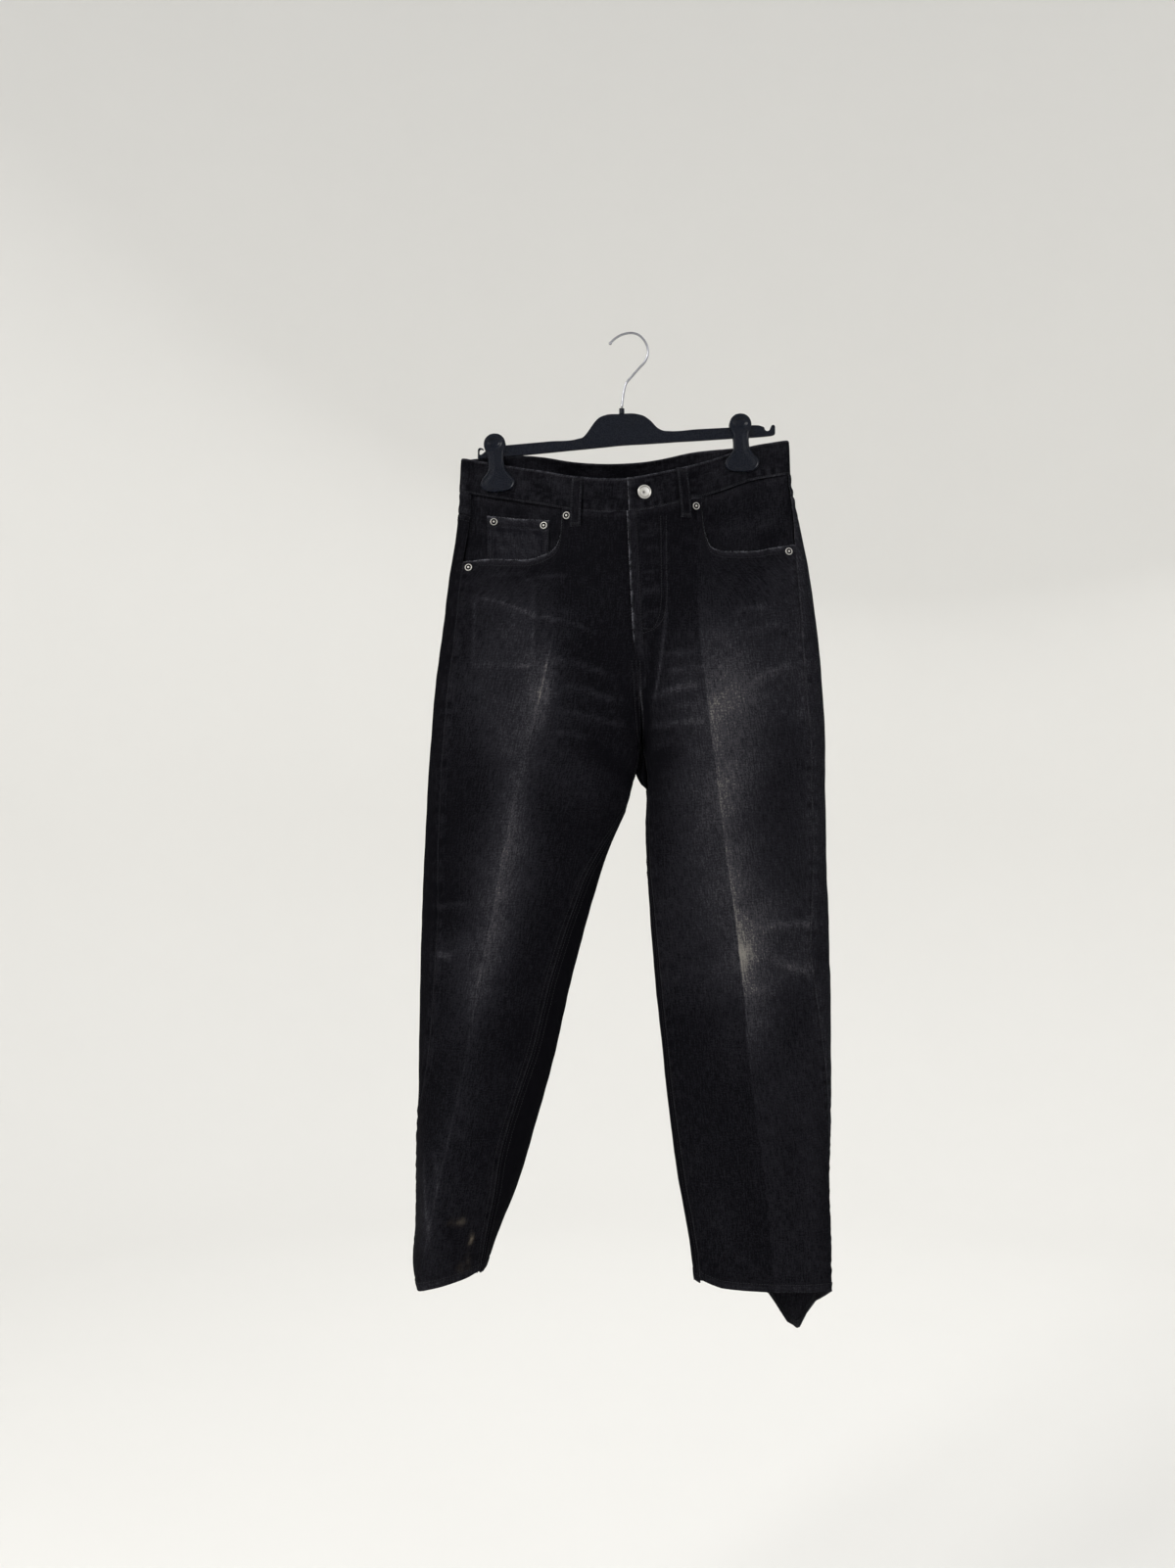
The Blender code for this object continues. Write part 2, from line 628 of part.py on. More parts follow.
def belt_loop_points(across, lean, face):
    """A belt loop: a strap over the waistband, flat at both ends and bowed out between them."""
    u, v = np.linspace(-0.5, 0.5, 4), np.linspace(0, 1, 8)[:, None]
    x = across + lean * v + u * LOOP_WIDTH
    drop = waist_top(face > 0, across + 0 * x) + 0.5 + LOOP_LENGTH * v
    lift = LOOP_WALL + LAYER_GAP + 0.15 + LOOP_BOW * np.sin(math.pi * v) + 0 * u
    points = hip_cloth(face > 0, x, drop, -lift)
    return points if face > 0 else points[:, ::-1]


def seat(front, across, drop, inward):
    """Where a round stud sits on the cloth, and the turn that stands it along the normal."""
    foot = hip_cloth(front, across, drop, inward)
    tip = hip_cloth(front, across, drop, inward - 1)
    return foot, tip - foot


def material(name, colour, roughness, metallic):
    """A plain Principled BSDF."""
    made = bpy.data.materials.new(name)
    made.use_nodes = True
    shader = made.node_tree.nodes["Principled BSDF"]
    shader.inputs["Base Color"].default_value = (*colour, 1.0)
    shader.inputs["Roughness"].default_value = roughness
    shader.inputs["Metallic"].default_value = metallic
    return made


def add_object(name, data, collection, finish):
    """Puts a mesh or a curve in the collection with a material of its own."""
    obj = bpy.data.objects.new(name, data)
    data.materials.append(material(name, *finish))
    collection.objects.link(obj)
    return obj


def add_sheet(name, points, wall, collection, finish):
    """A cloth piece: a grid laid on its points, which lie in rows from the top, with a wall inward."""
    rows, columns = points.shape[:2]
    mesh = bpy.data.meshes.new(name)
    form = bmesh.new()
    bmesh.ops.create_grid(form, x_segments=columns - 1, y_segments=rows - 1, size=1)
    for vert in form.verts:
        row = round((1 - vert.co.y) / 2 * (rows - 1))
        column = round((1 + vert.co.x) / 2 * (columns - 1))
        vert.co = points[row, column] * MM
    form.to_mesh(mesh)
    form.free()
    mesh.shade_smooth()
    obj = add_object(name, mesh, collection, finish)
    solidify = obj.modifiers.new("wall", "SOLIDIFY")
    solidify.thickness = wall * MM
    solidify.offset = -1
    return obj


def add_stud(name, across, drop, depth, radius, height, collection, finish):
    """A round metal stud: a low cone with a bevelled rim, standing on the cloth's normal."""
    foot, normal = seat(True, across, drop, depth - LOOSE_GAP)
    mesh = bpy.data.meshes.new(name)
    form = bmesh.new()
    foot_radius, top_radius = radius * MM, radius * STUD_TAPER * MM
    bmesh.ops.create_cone(
        form, cap_ends=True, segments=20, radius1=foot_radius, radius2=top_radius, depth=height * MM
    )
    bmesh.ops.translate(form, verts=form.verts, vec=(0, 0, height / 2 * MM))
    form.to_mesh(mesh)
    form.free()
    obj = add_object(name, mesh, collection, finish)
    obj.location = foot * MM
    obj.rotation_mode = "QUATERNION"
    obj.rotation_quaternion = Vector(normal).to_track_quat("Z", "Y")
    return obj


def outline_curve(name, outline, thickness):
    """A flat outline in the front view, given as (across, drop), with a thickness through Y."""
    curve = bpy.data.curves.new(name, "CURVE")
    curve.dimensions = "2D"
    curve.fill_mode = "BOTH"
    curve.extrude = thickness / 2 * MM
    spline = curve.splines.new("POLY")
    spline.points.add(len(outline) - 1)
    for point, (across, drop) in zip(spline.points, outline):
        point.co = (across * MM, -drop * MM, 0, 1)
    spline.use_cyclic_u = True
    return curve


def add_hanger_body(collection):
    """The moulded bar with its hump, collar and end notches."""
    curve = outline_curve("hanger_body", HANGER_OUTLINE, BAR_THICKNESS)
    obj = add_object("hanger_body", curve, collection, BLACK_PLASTIC)
    obj.rotation_euler = (math.pi / 2, 0, 0)


def add_hanger_hook(collection):
    """The bent wire: a smooth route through its points, round in section."""
    across, drop = trace(HOOK_ROUTE, np.linspace(0, 1, 34))
    curve = bpy.data.curves.new("hanger_hook", "CURVE")
    curve.dimensions = "3D"
    curve.bevel_depth = WIRE_RADIUS * MM
    curve.bevel_resolution = 2
    curve.use_fill_caps = True
    spline = curve.splines.new("POLY")
    spline.points.add(len(across) - 1)
    for point, x, d in zip(spline.points, across, drop):
        point.co = (x * MM, 0, -d * MM, 1)
    add_object("hanger_hook", curve, collection, STEEL)


def add_clip(name, across, drop, lean, slot_below, collection, cutters):
    """A clip: a keyhole-shaped block, slotted from below: its jaws hold the bar and the waistband."""
    below = CLIP_OUTLINE["below"]
    side = CLIP_OUTLINE["half_width"]
    outline = list(zip(side, below)) + list(zip(-side[:0:-1], below[:0:-1]))
    curve = outline_curve(name, outline, CLIP_THICKNESS)
    block = bpy.data.objects.new(name + "_outline", curve)
    collection.objects.link(block)
    graph = bpy.context.evaluated_depsgraph_get()
    mesh = bpy.data.meshes.new_from_object(block.evaluated_get(graph))
    bpy.data.objects.remove(block)
    form = bmesh.new()
    form.from_mesh(mesh)
    bmesh.ops.remove_doubles(form, verts=form.verts, dist=1e-6)
    form.to_mesh(mesh)
    form.free()
    obj = add_object(name, mesh, collection, BLACK_PLASTIC)

    slot_height = CLIP_HEIGHT + 10 - slot_below
    form = bmesh.new()
    bmesh.ops.create_cube(form, size=1)
    size = (60 * MM, slot_height * MM, CLIP_SLOT * MM)
    bmesh.ops.scale(form, verts=form.verts, vec=size)
    bmesh.ops.translate(form, verts=form.verts, vec=(0, -(slot_below + slot_height / 2) * MM, 0))
    cutter_mesh = bpy.data.meshes.new(name + "_slot")
    form.to_mesh(cutter_mesh)
    form.free()
    cutter = bpy.data.objects.new(name + "_slot", cutter_mesh)
    cutter.hide_render = True
    cutter.display_type = "WIRE"
    cutters.objects.link(cutter)
    for piece in (obj, cutter):
        piece.rotation_euler = (math.pi / 2, -math.radians(lean), 0)
        piece.location = (across * MM, 0, -drop * MM)
    cut = obj.modifiers.new("slot", "BOOLEAN")
    cut.operation = "DIFFERENCE"
    cut.solver = "EXACT"
    cut.object = cutter


def build():
    """Clears the scene and makes every piece of the jeans and the hanger."""
    for old in list(bpy.data.objects):
        bpy.data.objects.remove(old)
    jeans = bpy.data.collections.new("boyfriend_jeans")
    cutters = bpy.data.collections.new("cutters")
    for collection in (jeans, cutters):
        bpy.context.scene.collection.children.link(collection)

    for side, leg in (("right", RIGHT), ("left", LEFT)):
        add_sheet("front_" + side, front_points(leg), DENIM_WALL, jeans, DENIM)
        add_sheet("back_" + side, back_points(leg), DENIM_WALL, jeans, DENIM)
        add_sheet("yoke_" + side, yoke_points(leg), DENIM_WALL, jeans, DENIM)
    add_sheet("waistband", band_points(), BAND_WALL, jeans, DENIM)
    add_sheet("fly_stand", fly_stand_points(), DENIM_WALL, jeans, DENIM)
    add_sheet("facing_right", facing_points(RIGHT, FACING_DEPTH), POCKET_WALL, jeans, DENIM)
    add_sheet("facing_left", facing_points(LEFT, LAP_DEPTH), POCKET_WALL, jeans, DENIM)
    add_sheet("coin_pocket", coin_pocket_points(), POCKET_WALL, jeans, WORN_DENIM)
    for name, across, below_seam in BACK_POCKETS:
        add_sheet(name, back_pocket_points(across, below_seam), POCKET_WALL, jeans, DENIM)
    for number, (across, lean, face) in enumerate(BELT_LOOPS, 1):
        points = belt_loop_points(across, lean, face)
        add_sheet(f"belt_loop_{number}", points, LOOP_WALL, jeans, DENIM)

    for number, (across, drop, depth) in enumerate(RIVETS, 1):
        add_stud(f"rivet_{number}", across, drop, depth, RIVET_RADIUS, RIVET_HEIGHT, jeans, SILVER)
    add_stud("button", *BUTTON_PLACE, 0.0, BUTTON_RADIUS, BUTTON_HEIGHT, jeans, SILVER)
    add_hanger_body(jeans)
    add_hanger_hook(jeans)
    for name, across, drop, lean, slot_below in CLIPS:
        add_clip(name, across, drop, lean, slot_below, jeans, cutters)


build()
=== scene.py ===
"""Boyfriend jeans on a clip hanger: the looks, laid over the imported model.

Sizes are in millimetres and become metres when a mesh is made. The origin is the underside of
the hook's crown, +Z is up, the front faces -Y and +X is the wearer's left. A "drop" is a depth
below the origin, so z = -drop. Every cloth piece is a grid worked out by the same section as
its solid, raised or sunk along its own normals by its creases, seams and puckers.
"""

import math
from collections import namedtuple

import bmesh
import bpy
import numpy as np
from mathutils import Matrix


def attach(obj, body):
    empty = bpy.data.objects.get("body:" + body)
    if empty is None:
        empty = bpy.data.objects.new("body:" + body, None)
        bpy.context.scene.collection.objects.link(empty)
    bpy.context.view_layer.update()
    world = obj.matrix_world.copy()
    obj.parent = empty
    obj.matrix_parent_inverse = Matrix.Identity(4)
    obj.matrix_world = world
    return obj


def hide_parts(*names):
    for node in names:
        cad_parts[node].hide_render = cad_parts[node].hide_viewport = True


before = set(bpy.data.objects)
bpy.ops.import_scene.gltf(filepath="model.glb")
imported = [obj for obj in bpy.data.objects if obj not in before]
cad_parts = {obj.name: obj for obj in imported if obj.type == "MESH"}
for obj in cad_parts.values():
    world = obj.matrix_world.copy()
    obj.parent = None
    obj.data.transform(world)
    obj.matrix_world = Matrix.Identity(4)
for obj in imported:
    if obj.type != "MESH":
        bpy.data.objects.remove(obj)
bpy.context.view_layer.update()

MM = 0.001
RNG = np.random.default_rng(11)

# Walls and steps of the cloth, as the solids have them.
DENIM_WALL = 1.2
BAND_WALL = 2.5
POCKET_WALL = 1.0
LOOP_WALL = 1.6
BAND_HEIGHT = 42.0
BAND_GAP = -2.0
CROTCH_DROP = 500.0
FRONT_FALL_DROP = 330.0
BACK_FALL_DROP = 350.0
FRONT_CENTRE_DEPTH = 40.0
BACK_CENTRE_DEPTH = 44.0
CREASE_SHARPNESS = 0.25
CREASE_START_DROP = 450.0
CLIPPED_DEPTH = BAND_WALL + 0.5
CLIP_FLAT_HALF_WIDTH = 27.0
WAIST_BULGE = 33.0
WAIST_SWELL = 1.35
SIDE_ROUND = 7.0
HIP_REACH = 150.0
LAP_WIDTH = 40.0
FLY_TOP = 226.0
FLY_DROP = 404.0
FLY_LAP = 3.0
COIN_DEPTH = DENIM_WALL + 0.3
FACING_DEPTH = COIN_DEPTH + POCKET_WALL + 0.75
LAP_DEPTH = DENIM_WALL + 0.75
FACING_LAP = 14.0
HEM_HEIGHT = 11.0
SETTLED_DROP = 430.0
YOKE_LEVEL = 230.0
HEM_LEVEL = 1150.0
# Between these drops a panel's rows of points lie level.
LEVEL_TOP = 350.0
LEVEL_BOTTOM = 1100.0
HEM_FOLD_WALL = 0.9

# One stitch, from one to the next, and its thread.
STITCH = 2.6
STITCH_PITCH = 3.2
THREAD_RADIUS = 0.42


def table(names, *rows):
    """A table as a dictionary of columns; its first column is the place of each row."""
    return dict(zip(names.split(), np.array(rows, float).T))


RIGHT_LEG = table(
    "drop outer_x front_x front_y inner_x inner_y back_x back_y",
    (150, -208, -92, -38, 12, 0, -95, 42),
    (230, -213, -92, -39, 12, 0, -95, 44),
    (300, -224, -92, -41, 12, 0, -96, 45),
    (360, -231, -94, -43, 12, 0, -98, 46),
    (430, -240, -108, -44, 12, 0, -105, 46),
    (500, -246, -124, -45, 11, 0, -114, 46),
    (560, -250, -139, -46, -2, 0, -124, 46),
    (640, -254, -156, -47, -32, 0, -137, 46),
    (720, -257, -170, -48, -55, -1, -148, 47),
    (800, -259, -187, -51, -76, -3, -160, 49),
    (880, -260, -200, -55, -94, -5, -172, 52),
    (960, -262, -216, -62, -115, -8, -184, 56),
    (1040, -263, -234, -70, -140, -12, -194, 61),
    (1100, -263, -244, -76, -164, -16, -202, 66),
    (1160, -259, -247, -82, -184, -20, -208, 70),
)

LEFT_LEG = table(
    "drop outer_x front_x front_y inner_x inner_y back_x back_y",
    (130, 192, 79, -36, 12, 0, 85, 40),
    (190, 196, 79, -37, 12, 0, 85, 42),
    (240, 207, 79, -39, 12, 0, 85, 43),
    (300, 218, 79, -40, 12, 0, 86, 44),
    (360, 227, 80, -42, 12, 0, 88, 45),
    (430, 233, 88, -43, 12, 0, 92, 45),
    (500, 237, 96, -44, 13, 0, 98, 45),
    (560, 237, 104, -44, 20, 0, 106, 45),
    (640, 239, 114, -44, 19, 0, 117, 44),
    (720, 242, 125, -43, 23, 0, 130, 43),
    (800, 244, 134, -41, 30, 0, 142, 41),
    (880, 244, 140, -39, 38, 0, 153, 40),
    (960, 244, 151, -36, 47, 0, 165, 39),
    (1040, 242, 162, -33, 58, 0, 178, 39),
    (1100, 244, 168, -31, 69, 0, 188, 40),
    (1160, 245, 172, -29, 76, 0, 198, 42),
    (1240, 245, 174, -28, 79, 0, 206, 44),
)

CENTRE = table(
    "drop across",
    (150, -8), (220, -4), (300, 0), (360, 3), (430, 9), (500, 12), (560, 12),
)

WAIST_TOP = table(
    "across front_drop back_drop",
    (-208, 153, 153),
    (-163, 160, 151),
    (-110, 169, 149),
    (-71, 178, 152),
    (-7, 182, 152),
    (45, 171, 149),
    (78, 161, 144),
    (111, 150, 141),
    (146, 138, 137),
    (192, 131, 131),
)

YOKE_SEAM = table("across drop", (-212, 220), (-4, 262), (200, 199))

OUTSEAM = table(
    "drop right left",
    (150, 8, 3), (200, 14, 3), (260, 15, 12), (330, 16, 19), (400, 17, 22), (540, 17, 19),
    (620, 18, 18), (760, 20, 25), (840, 17, 16), (890, 12, 9), (950, 2, 4), (1010, 0, 0),
)

INSEAM = table(
    "drop right left",
    (500, 0, 0), (600, 2, 2), (660, 16, 3), (700, 20, 5), (780, 25, 6), (870, 27, 6),
    (930, 32, 6), (1000, 32, 7), (1045, 24, 7), (1120, 9, 7), (1160, 3, 7),
)

RIGHT_HEM = table(
    "place drop",
    (-1, 1134), (-0.75, 1149), (-0.5, 1160), (-0.25, 1159), (-0.06, 1150), (0, 1150), (0.12, 1157),
    (0.5, 1149), (0.85, 1139), (1, 1134),
)
LEFT_HEM = table(
    "place drop",
    (-1, 1158), (-0.72, 1170), (-0.60, 1180), (-0.57, 1187), (-0.52, 1224), (-0.485, 1231),
    (-0.45, 1229), (-0.38, 1211), (-0.28, 1193), (-0.12, 1180), (0, 1171), (0.5, 1166), (0.8, 1163),
    (0.94, 1157), (1, 1152),
)

# Each pocket's scoop, from the outseam to the waist seam, as (across, drop).
RIGHT_SCOOP = (
    (-206, 281), (-173, 278), (-144, 279), (-122, 278), (-107, 273), (-94, 265), (-88, 253),
    (-86, 240), (-84, 218),
)
LEFT_SCOOP = (
    (197, 260), (166, 265), (152, 268), (129, 269), (108, 268), (96, 263), (91, 253), (87, 234),
    (85, 202),
)

COIN_POCKET = table("across top_drop", (-177, 223), (-101, 230))
COIN_BOTTOM_DROP = 291.0

# The largest folds, as the solids have them.
FOLDS = table(
    "face across drop reach half_width angle rise",
    (1, -70, 545, 80, 34, 24, 3.0),
    (1, 90, 552, 75, 34, -24, 3.0),
    (1, -205, 712, 60, 34, 12, -2.5),
    (1, 195, 765, 55, 34, -14, -3.0),
    (-1, -80, 565, 85, 36, 26, 4.0),
    (-1, 90, 560, 85, 36, -26, 4.0),
    (-1, -150, 790, 90, 38, 8, -4.0),
    (-1, 140, 800, 90, 38, -8, -4.0),
)

# Soft creases, given one by one: ridges (rise over 0) and troughs, each in its own size.
CREASES = table(
    "face across drop reach half_width angle rise",
    (1, -130, 296, 60, 9, -14, -1.0),
    (1, -165, 332, 46, 7, 14, 0.9),
    (1, -78, 346, 44, 6, 12, 0.9),
    (1, -60, 414, 36, 6, 14, 1.0),
    (1, -45, 447, 36, 6, 10, 1.1),
    (1, -42, 477, 40, 7, 4, 1.0),
    (1, -68, 497, 30, 6, 2, 0.7),
    (1, -36, 520, 46, 12, 34, -1.6),
    (1, 60, 398, 30, 6, -4, 0.9),
    (1, 64, 416, 30, 5, -3, 0.8),
    (1, 56, 438, 36, 6, -9, 1.1),
    (1, 50, 480, 38, 6, -2, 1.0),
    (1, 40, 520, 44, 12, -34, -1.6),
    (1, 150, 342, 30, 6, -8, 0.8),
    (1, 170, 362, 36, 6, -10, 0.9),
    (1, 172, 417, 40, 7, -18, 1.2),
    (1, 188, 722, 42, 7, -2, 1.3),
    (1, 198, 771, 40, 8, 16, 1.5),
    (1, -222, 700, 34, 8, 4, 1.1),
    (1, -226, 757, 26, 8, -6, 1.2),
    (1, -150, 812, 60, 14, 8, 0.8),
    (1, -246, 1060, 66, 8, 84, 2.0),
    (1, -214, 1085, 40, 12, 70, -1.2),
    (1, 120, 880, 60, 18, 84, 0.9),
    (1, 190, 1010, 80, 16, 86, -1.0),
    (1, 110, 1090, 60, 18, 70, 0.8),
    (-1, -70, 470, 60, 9, 16, 1.6),
    (-1, -62, 505, 56, 9, 24, 1.8),
    (-1, -84, 540, 60, 10, 30, 1.6),
    (-1, 84, 466, 60, 9, -15, 1.5),
    (-1, 76, 502, 56, 9, -25, 1.8),
    (-1, 100, 545, 60, 10, -30, 1.5),
    (-1, -180, 742, 60, 9, 6, 1.7),
    (-1, -120, 772, 56, 9, -8, 1.6),
    (-1, -160, 806, 62, 10, 4, 1.4),
    (-1, 120, 748, 60, 9, -5, 1.7),
    (-1, 186, 778, 50, 9, 9, 1.6),
    (-1, 140, 812, 60, 10, -4, 1.4),
    (-1, -210, 1010, 90, 18, 82, 1.5),
    (-1, 200, 1040, 90, 18, 86, -1.4),
    (1, 31, 245, 9, 7, 0, 1.2),
    (1, 31, 281, 9, 7, 0, 1.3),
    (1, 31, 316, 9, 7, 0, 1.3),
    (1, 29, 357, 9, 7, 0, 1.1),
    (1, 32, 400, 60, 4, 98, 1.4),
    (1, 24, 424, 46, 6, 98, -1.8),
    (1, 16, 486, 34, 6, 90, -3.5),
    (-1, 40, 300, 60, 16, -30, -1.2),
    (-1, -60, 306, 60, 16, 30, -1.2),
)

# The fade that follows each pressed front crease: how strong it is at the crease, and how far it
# reaches, on the crease's outer and inner sides.
RIGHT_GLOW = table(
    "drop outer outer_reach inner inner_reach",
    (300, 0.05, 60, 0.02, 20), (363, 0.15, 78, 0.10, 20), (405, 0.32, 70, 0.20, 22),
    (447, 0.46, 62, 0.32, 22), (490, 0.48, 50, 0.36, 20), (532, 0.34, 38, 0.30, 22),
    (574, 0.34, 27, 0.38, 24), (617, 0.40, 24, 0.57, 32), (659, 0.42, 30, 0.58, 37),
    (701, 0.44, 34, 0.58, 32), (744, 0.48, 38, 0.60, 28), (786, 0.40, 30, 0.42, 26),
    (828, 0.20, 26, 0.26, 26), (870, 0.10, 28, 0.18, 24), (955, 0.10, 24, 0.12, 32),
    (997, 0.12, 20, 0.10, 38), (1040, 0.12, 16, 0.12, 40), (1110, 0.06, 24, 0.10, 40),
    (1170, 0.04, 24, 0.06, 40),
)
LEFT_GLOW = table(
    "drop outer outer_reach inner inner_reach",
    (290, 0.04, 60, 0.01, 20), (340, 0.14, 90, 0.04, 24), (375, 0.32, 98, 0.10, 26),
    (410, 0.50, 90, 0.20, 28), (447, 0.72, 80, 0.33, 32), (490, 0.74, 52, 0.31, 38),
    (532, 0.60, 44, 0.35, 44), (574, 0.60, 38, 0.41, 46), (617, 0.60, 36, 0.42, 58),
    (659, 0.66, 36, 0.40, 70), (701, 0.70, 45, 0.37, 74), (744, 0.78, 46, 0.34, 66),
    (786, 0.76, 36, 0.30, 62), (828, 0.42, 30, 0.10, 60), (870, 0.22, 38, 0.03, 50),
    (930, 0.13, 50, 0.01, 50), (1170, 0.10, 60, 0.01, 50),
)

# Other faded places on the front. The side is 1 for the outer side of the crease, -1 for the
# inner side and 0 for both. The lean is how far the place moves across for each mm of drop.
# Rows whose strength is below 0 are painted shade: the hollow at the crotch, and the gap between the legs
# below it.
FADES = table(
    "leg side across drop half_across half_drop lean strength",
    (1, 1, -152, 350, 40, 62, 0.0, 0.12),
    (1, 0, -226, 1010, 20, 80, -0.10, 0.03),
    (1, 0, -195, 1100, 50, 70, -0.2, 0.06),
    (1, 0, -196, 430, 50, 60, 0.0, 0.05),
    (1, -1, -56, 465, 44, 50, 0.0, 0.05),
    (2, 1, 206, 600, 70, 340, 0.0, 0.12),
    (2, 1, 172, 330, 50, 70, 0.0, 0.10),
    (2, 0, 205, 1010, 60, 220, 0.0, 0.06),
    (2, -1, 62, 445, 38, 62, 0.0, 0.10),
    (2, -1, 100, 1040, 60, 200, 0.0, 0.04),
    (2, -1, 30, 700, 30, 160, 0.1, 0.04),
    (2, -1, 26, 590, 22, 110, 0.05, -0.12),
    (2, 1, 178, 768, 42, 32, 0.0, 0.15),
    (2, -1, 92, 765, 60, 50, 0.0, 0.05),
    (1, -1, 2, 466, 12, 26, 0.0, -0.10),
    (2, 1, 216, 620, 22, 210, 0.0, 0.08),
    (2, 1, 222, 1000, 14, 150, 0.0, 0.05),
)

# How far each leg's pressed front crease is worn, down the leg.
CREASE_WEAR = table(
    "drop right left",
    (300, 0.0, 0.0), (352, 0.06, 0.04), (388, 0.24, 0.08), (410, 0.46, 0.16), (460, 0.42, 0.20),
    (500, 0.24, 0.20), (540, 0.14, 0.26), (580, 0.18, 0.34), (620, 0.30, 0.40), (660, 0.30, 0.46),
    (700, 0.24, 0.54), (745, 0.20, 0.66), (775, 0.22, 0.62), (800, 0.18, 0.32), (850, 0.14, 0.10),
    (920, 0.16, 0.07), (1000, 0.24, 0.06), (1060, 0.22, 0.05), (1110, 0.10, 0.04), (1170, 0.02, 0.03),
)

# Whiskers and other worn lines: ends, sideways bow, half width and strength.
WORN_LINES = table(
    "start_x start_drop end_x end_drop bow half_width strength",
    (-91, 386, -116, 496, 0, 8.0, 0.16),
    (-140, 307, -70, 299, 3, 2.2, 0.13),
    (-192, 324, -112, 351, 3, 2.4, 0.16),
    (-118, 350, -36, 374, 5, 2.4, 0.16),
    (-128, 352, -82, 354, 2, 2.4, 0.10),
    (-98, 401, -26, 422, 4, 2.8, 0.16),
    (-88, 432, -14, 454, 4, 3.0, 0.17),
    (-98, 462, -6, 483, 3, 2.8, 0.14),
    (-104, 488, -46, 497, 2, 2.8, 0.11),
    (-128, 438, -84, 444, 2, 5.0, 0.08),
    (36, 396, 92, 392, 2, 2.6, 0.13),
    (40, 417, 94, 410, 2, 2.8, 0.14),
    (24, 446, 96, 429, 3, 3.8, 0.20),
    (20, 483, 94, 476, 3, 3.2, 0.17),
    (28, 464, 92, 454, 2, 4.0, 0.10),
    (22, 504, 84, 500, 2, 6.0, 0.08),
    (118, 346, 166, 336, 2, 4.2, 0.12),
    (142, 369, 184, 354, 2, 4.2, 0.12),
    (138, 434, 200, 406, 6, 4.8, 0.22),
    (148, 726, 230, 719, 3, 4.4, 0.20),
    (160, 757, 230, 781, -4, 4.8, 0.20),
    (219, 706, 223, 728, 0, 3.4, 0.20),
    (-238, 700, -196, 697, 2, 3.0, 0.16),
    (-236, 757, -216, 760, 2, 4.2, 0.22),
    (-252, 372, -226, 384, 2, 4.0, 0.14),
    (190, 470, 234, 466, 2, 5.0, 0.10),
    (-238, 984, -232, 1046, 2, 3.0, 0.14),
    (-250, 985, -238, 1104, -2, 1.5, 0.16),
    (-192, 322, -194, 408, 2, 1.8, 0.12),
    (-118, 302, -121, 411, 1, 1.6, 0.15),
    (-194, 408, -118, 411, 2, 1.5, 0.30),
    (-180, 300, -122, 298, 2, 2.6, 0.10),
    (41, 232, 42, 340, 0, 1.6, 0.15),
    (42, 322, 23, 466, 3, 1.7, 0.22),
    (8, 430, 13.5, 468, 0, 1.0, 0.34),
    (16, 417, 15.5, 435, 0, 1.0, 0.20),
    (10, 239, 33, 237, 1, 1.6, 0.20),
    (12, 246, 34, 244, -1, 1.6, 0.15),
    (10, 252, 30, 251, 1, 1.8, 0.18),
    (12, 268, 33, 266, 1, 4.0, 0.11),
    (9, 284, 26, 287, 1, 2.2, 0.09),
    (11, 297, 32, 294, 1, 2.0, 0.13),
    (14, 304, 30, 301, -1, 2.4, 0.11),
    (10, 323, 34, 319, 2, 5.0, 0.14),
    (12, 351, 36, 341, 2, 2.2, 0.11),
)

# The same behind: below the seat and in the hollows of the knees.
WORN_BEHIND = table(
    "start_x start_drop end_x end_drop bow half_width strength",
    (-152, 466, -58, 486, 6, 5.0, 0.13),
    (-176, 509, -80, 497, -6, 6.0, 0.11),
    (-122, 541, -44, 553, 4, 5.0, 0.09),
    (-212, 738, -118, 750, 7, 5.0, 0.14),
    (-200, 778, -106, 766, -8, 6.0, 0.18),
    (-222, 810, -132, 824, 6, 5.0, 0.13),
    (-184, 848, -104, 838, -4, 6.0, 0.09),
    (52, 482, 146, 464, -6, 5.0, 0.13),
    (66, 499, 178, 514, 7, 6.0, 0.11),
    (44, 548, 112, 538, -4, 5.0, 0.08),
    (86, 752, 188, 736, -7, 5.0, 0.15),
    (96, 770, 206, 784, 8, 6.0, 0.18),
    (90, 822, 178, 808, -6, 5.0, 0.12),
    (124, 841, 208, 851, 4, 6.0, 0.09),
)

# Small beige scuffs near the right hem.
SCUFFS = table(
    "across drop half_across half_drop strength",
    (-209, 1072, 8.0, 3.0, 0.08),
    (-202, 1069, 3.0, 4.0, 0.06),
    (-192, 1091, 2.0, 4.6, 0.27),
    (-194, 1098, 1.8, 3.2, 0.17),
    (-204, 1126, 4.0, 6.0, 0.05),
    (-196, 1120, 3.0, 9.0, 0.04),
)

# The fold of the seat that hangs below the crotch, from where it leaves the seam to its end.
FOLD_START_DROP = 494.0
FOLD_EDGE_DROP = 537.0
FOLD_RETURN = 24.0

# How far the right leg's outer edge kicks out above its hem, at what drop and half height.
KICK = (-5.0, 1127.0, 26.0)

# The square end of the right pocket's bag, which shows through the front.
BAG_OUTER_X = -195.0
BAG_INNER_X = -117.5
BAG_TOP_DROP = 296.0
BAG_BOTTOM_DROP = 411.5

# Back pockets: node, across, and how far below the yoke seam.
BACK_POCKETS = (("back_pocket_right", -112.0, 24.0), ("back_pocket_left", 98.0, 26.0))
POCKET_WIDTH = 148.0
POCKET_TAPER = 14.0
POCKET_SIDE = 140.0
POCKET_POINT = 20.0

# The fly's curved row of stitches, as (across, drop), and how much each point takes of a second
# row's shift, across and down.
FLY_CURVE = np.array([
    (41, 226, 1, 0), (41.5, 290, 1, 0), (41, 332, 1, 0), (37, 352, 0.9, 0), (27, 364, 0.5, 0),
    (12, 370, 0, 1),
])

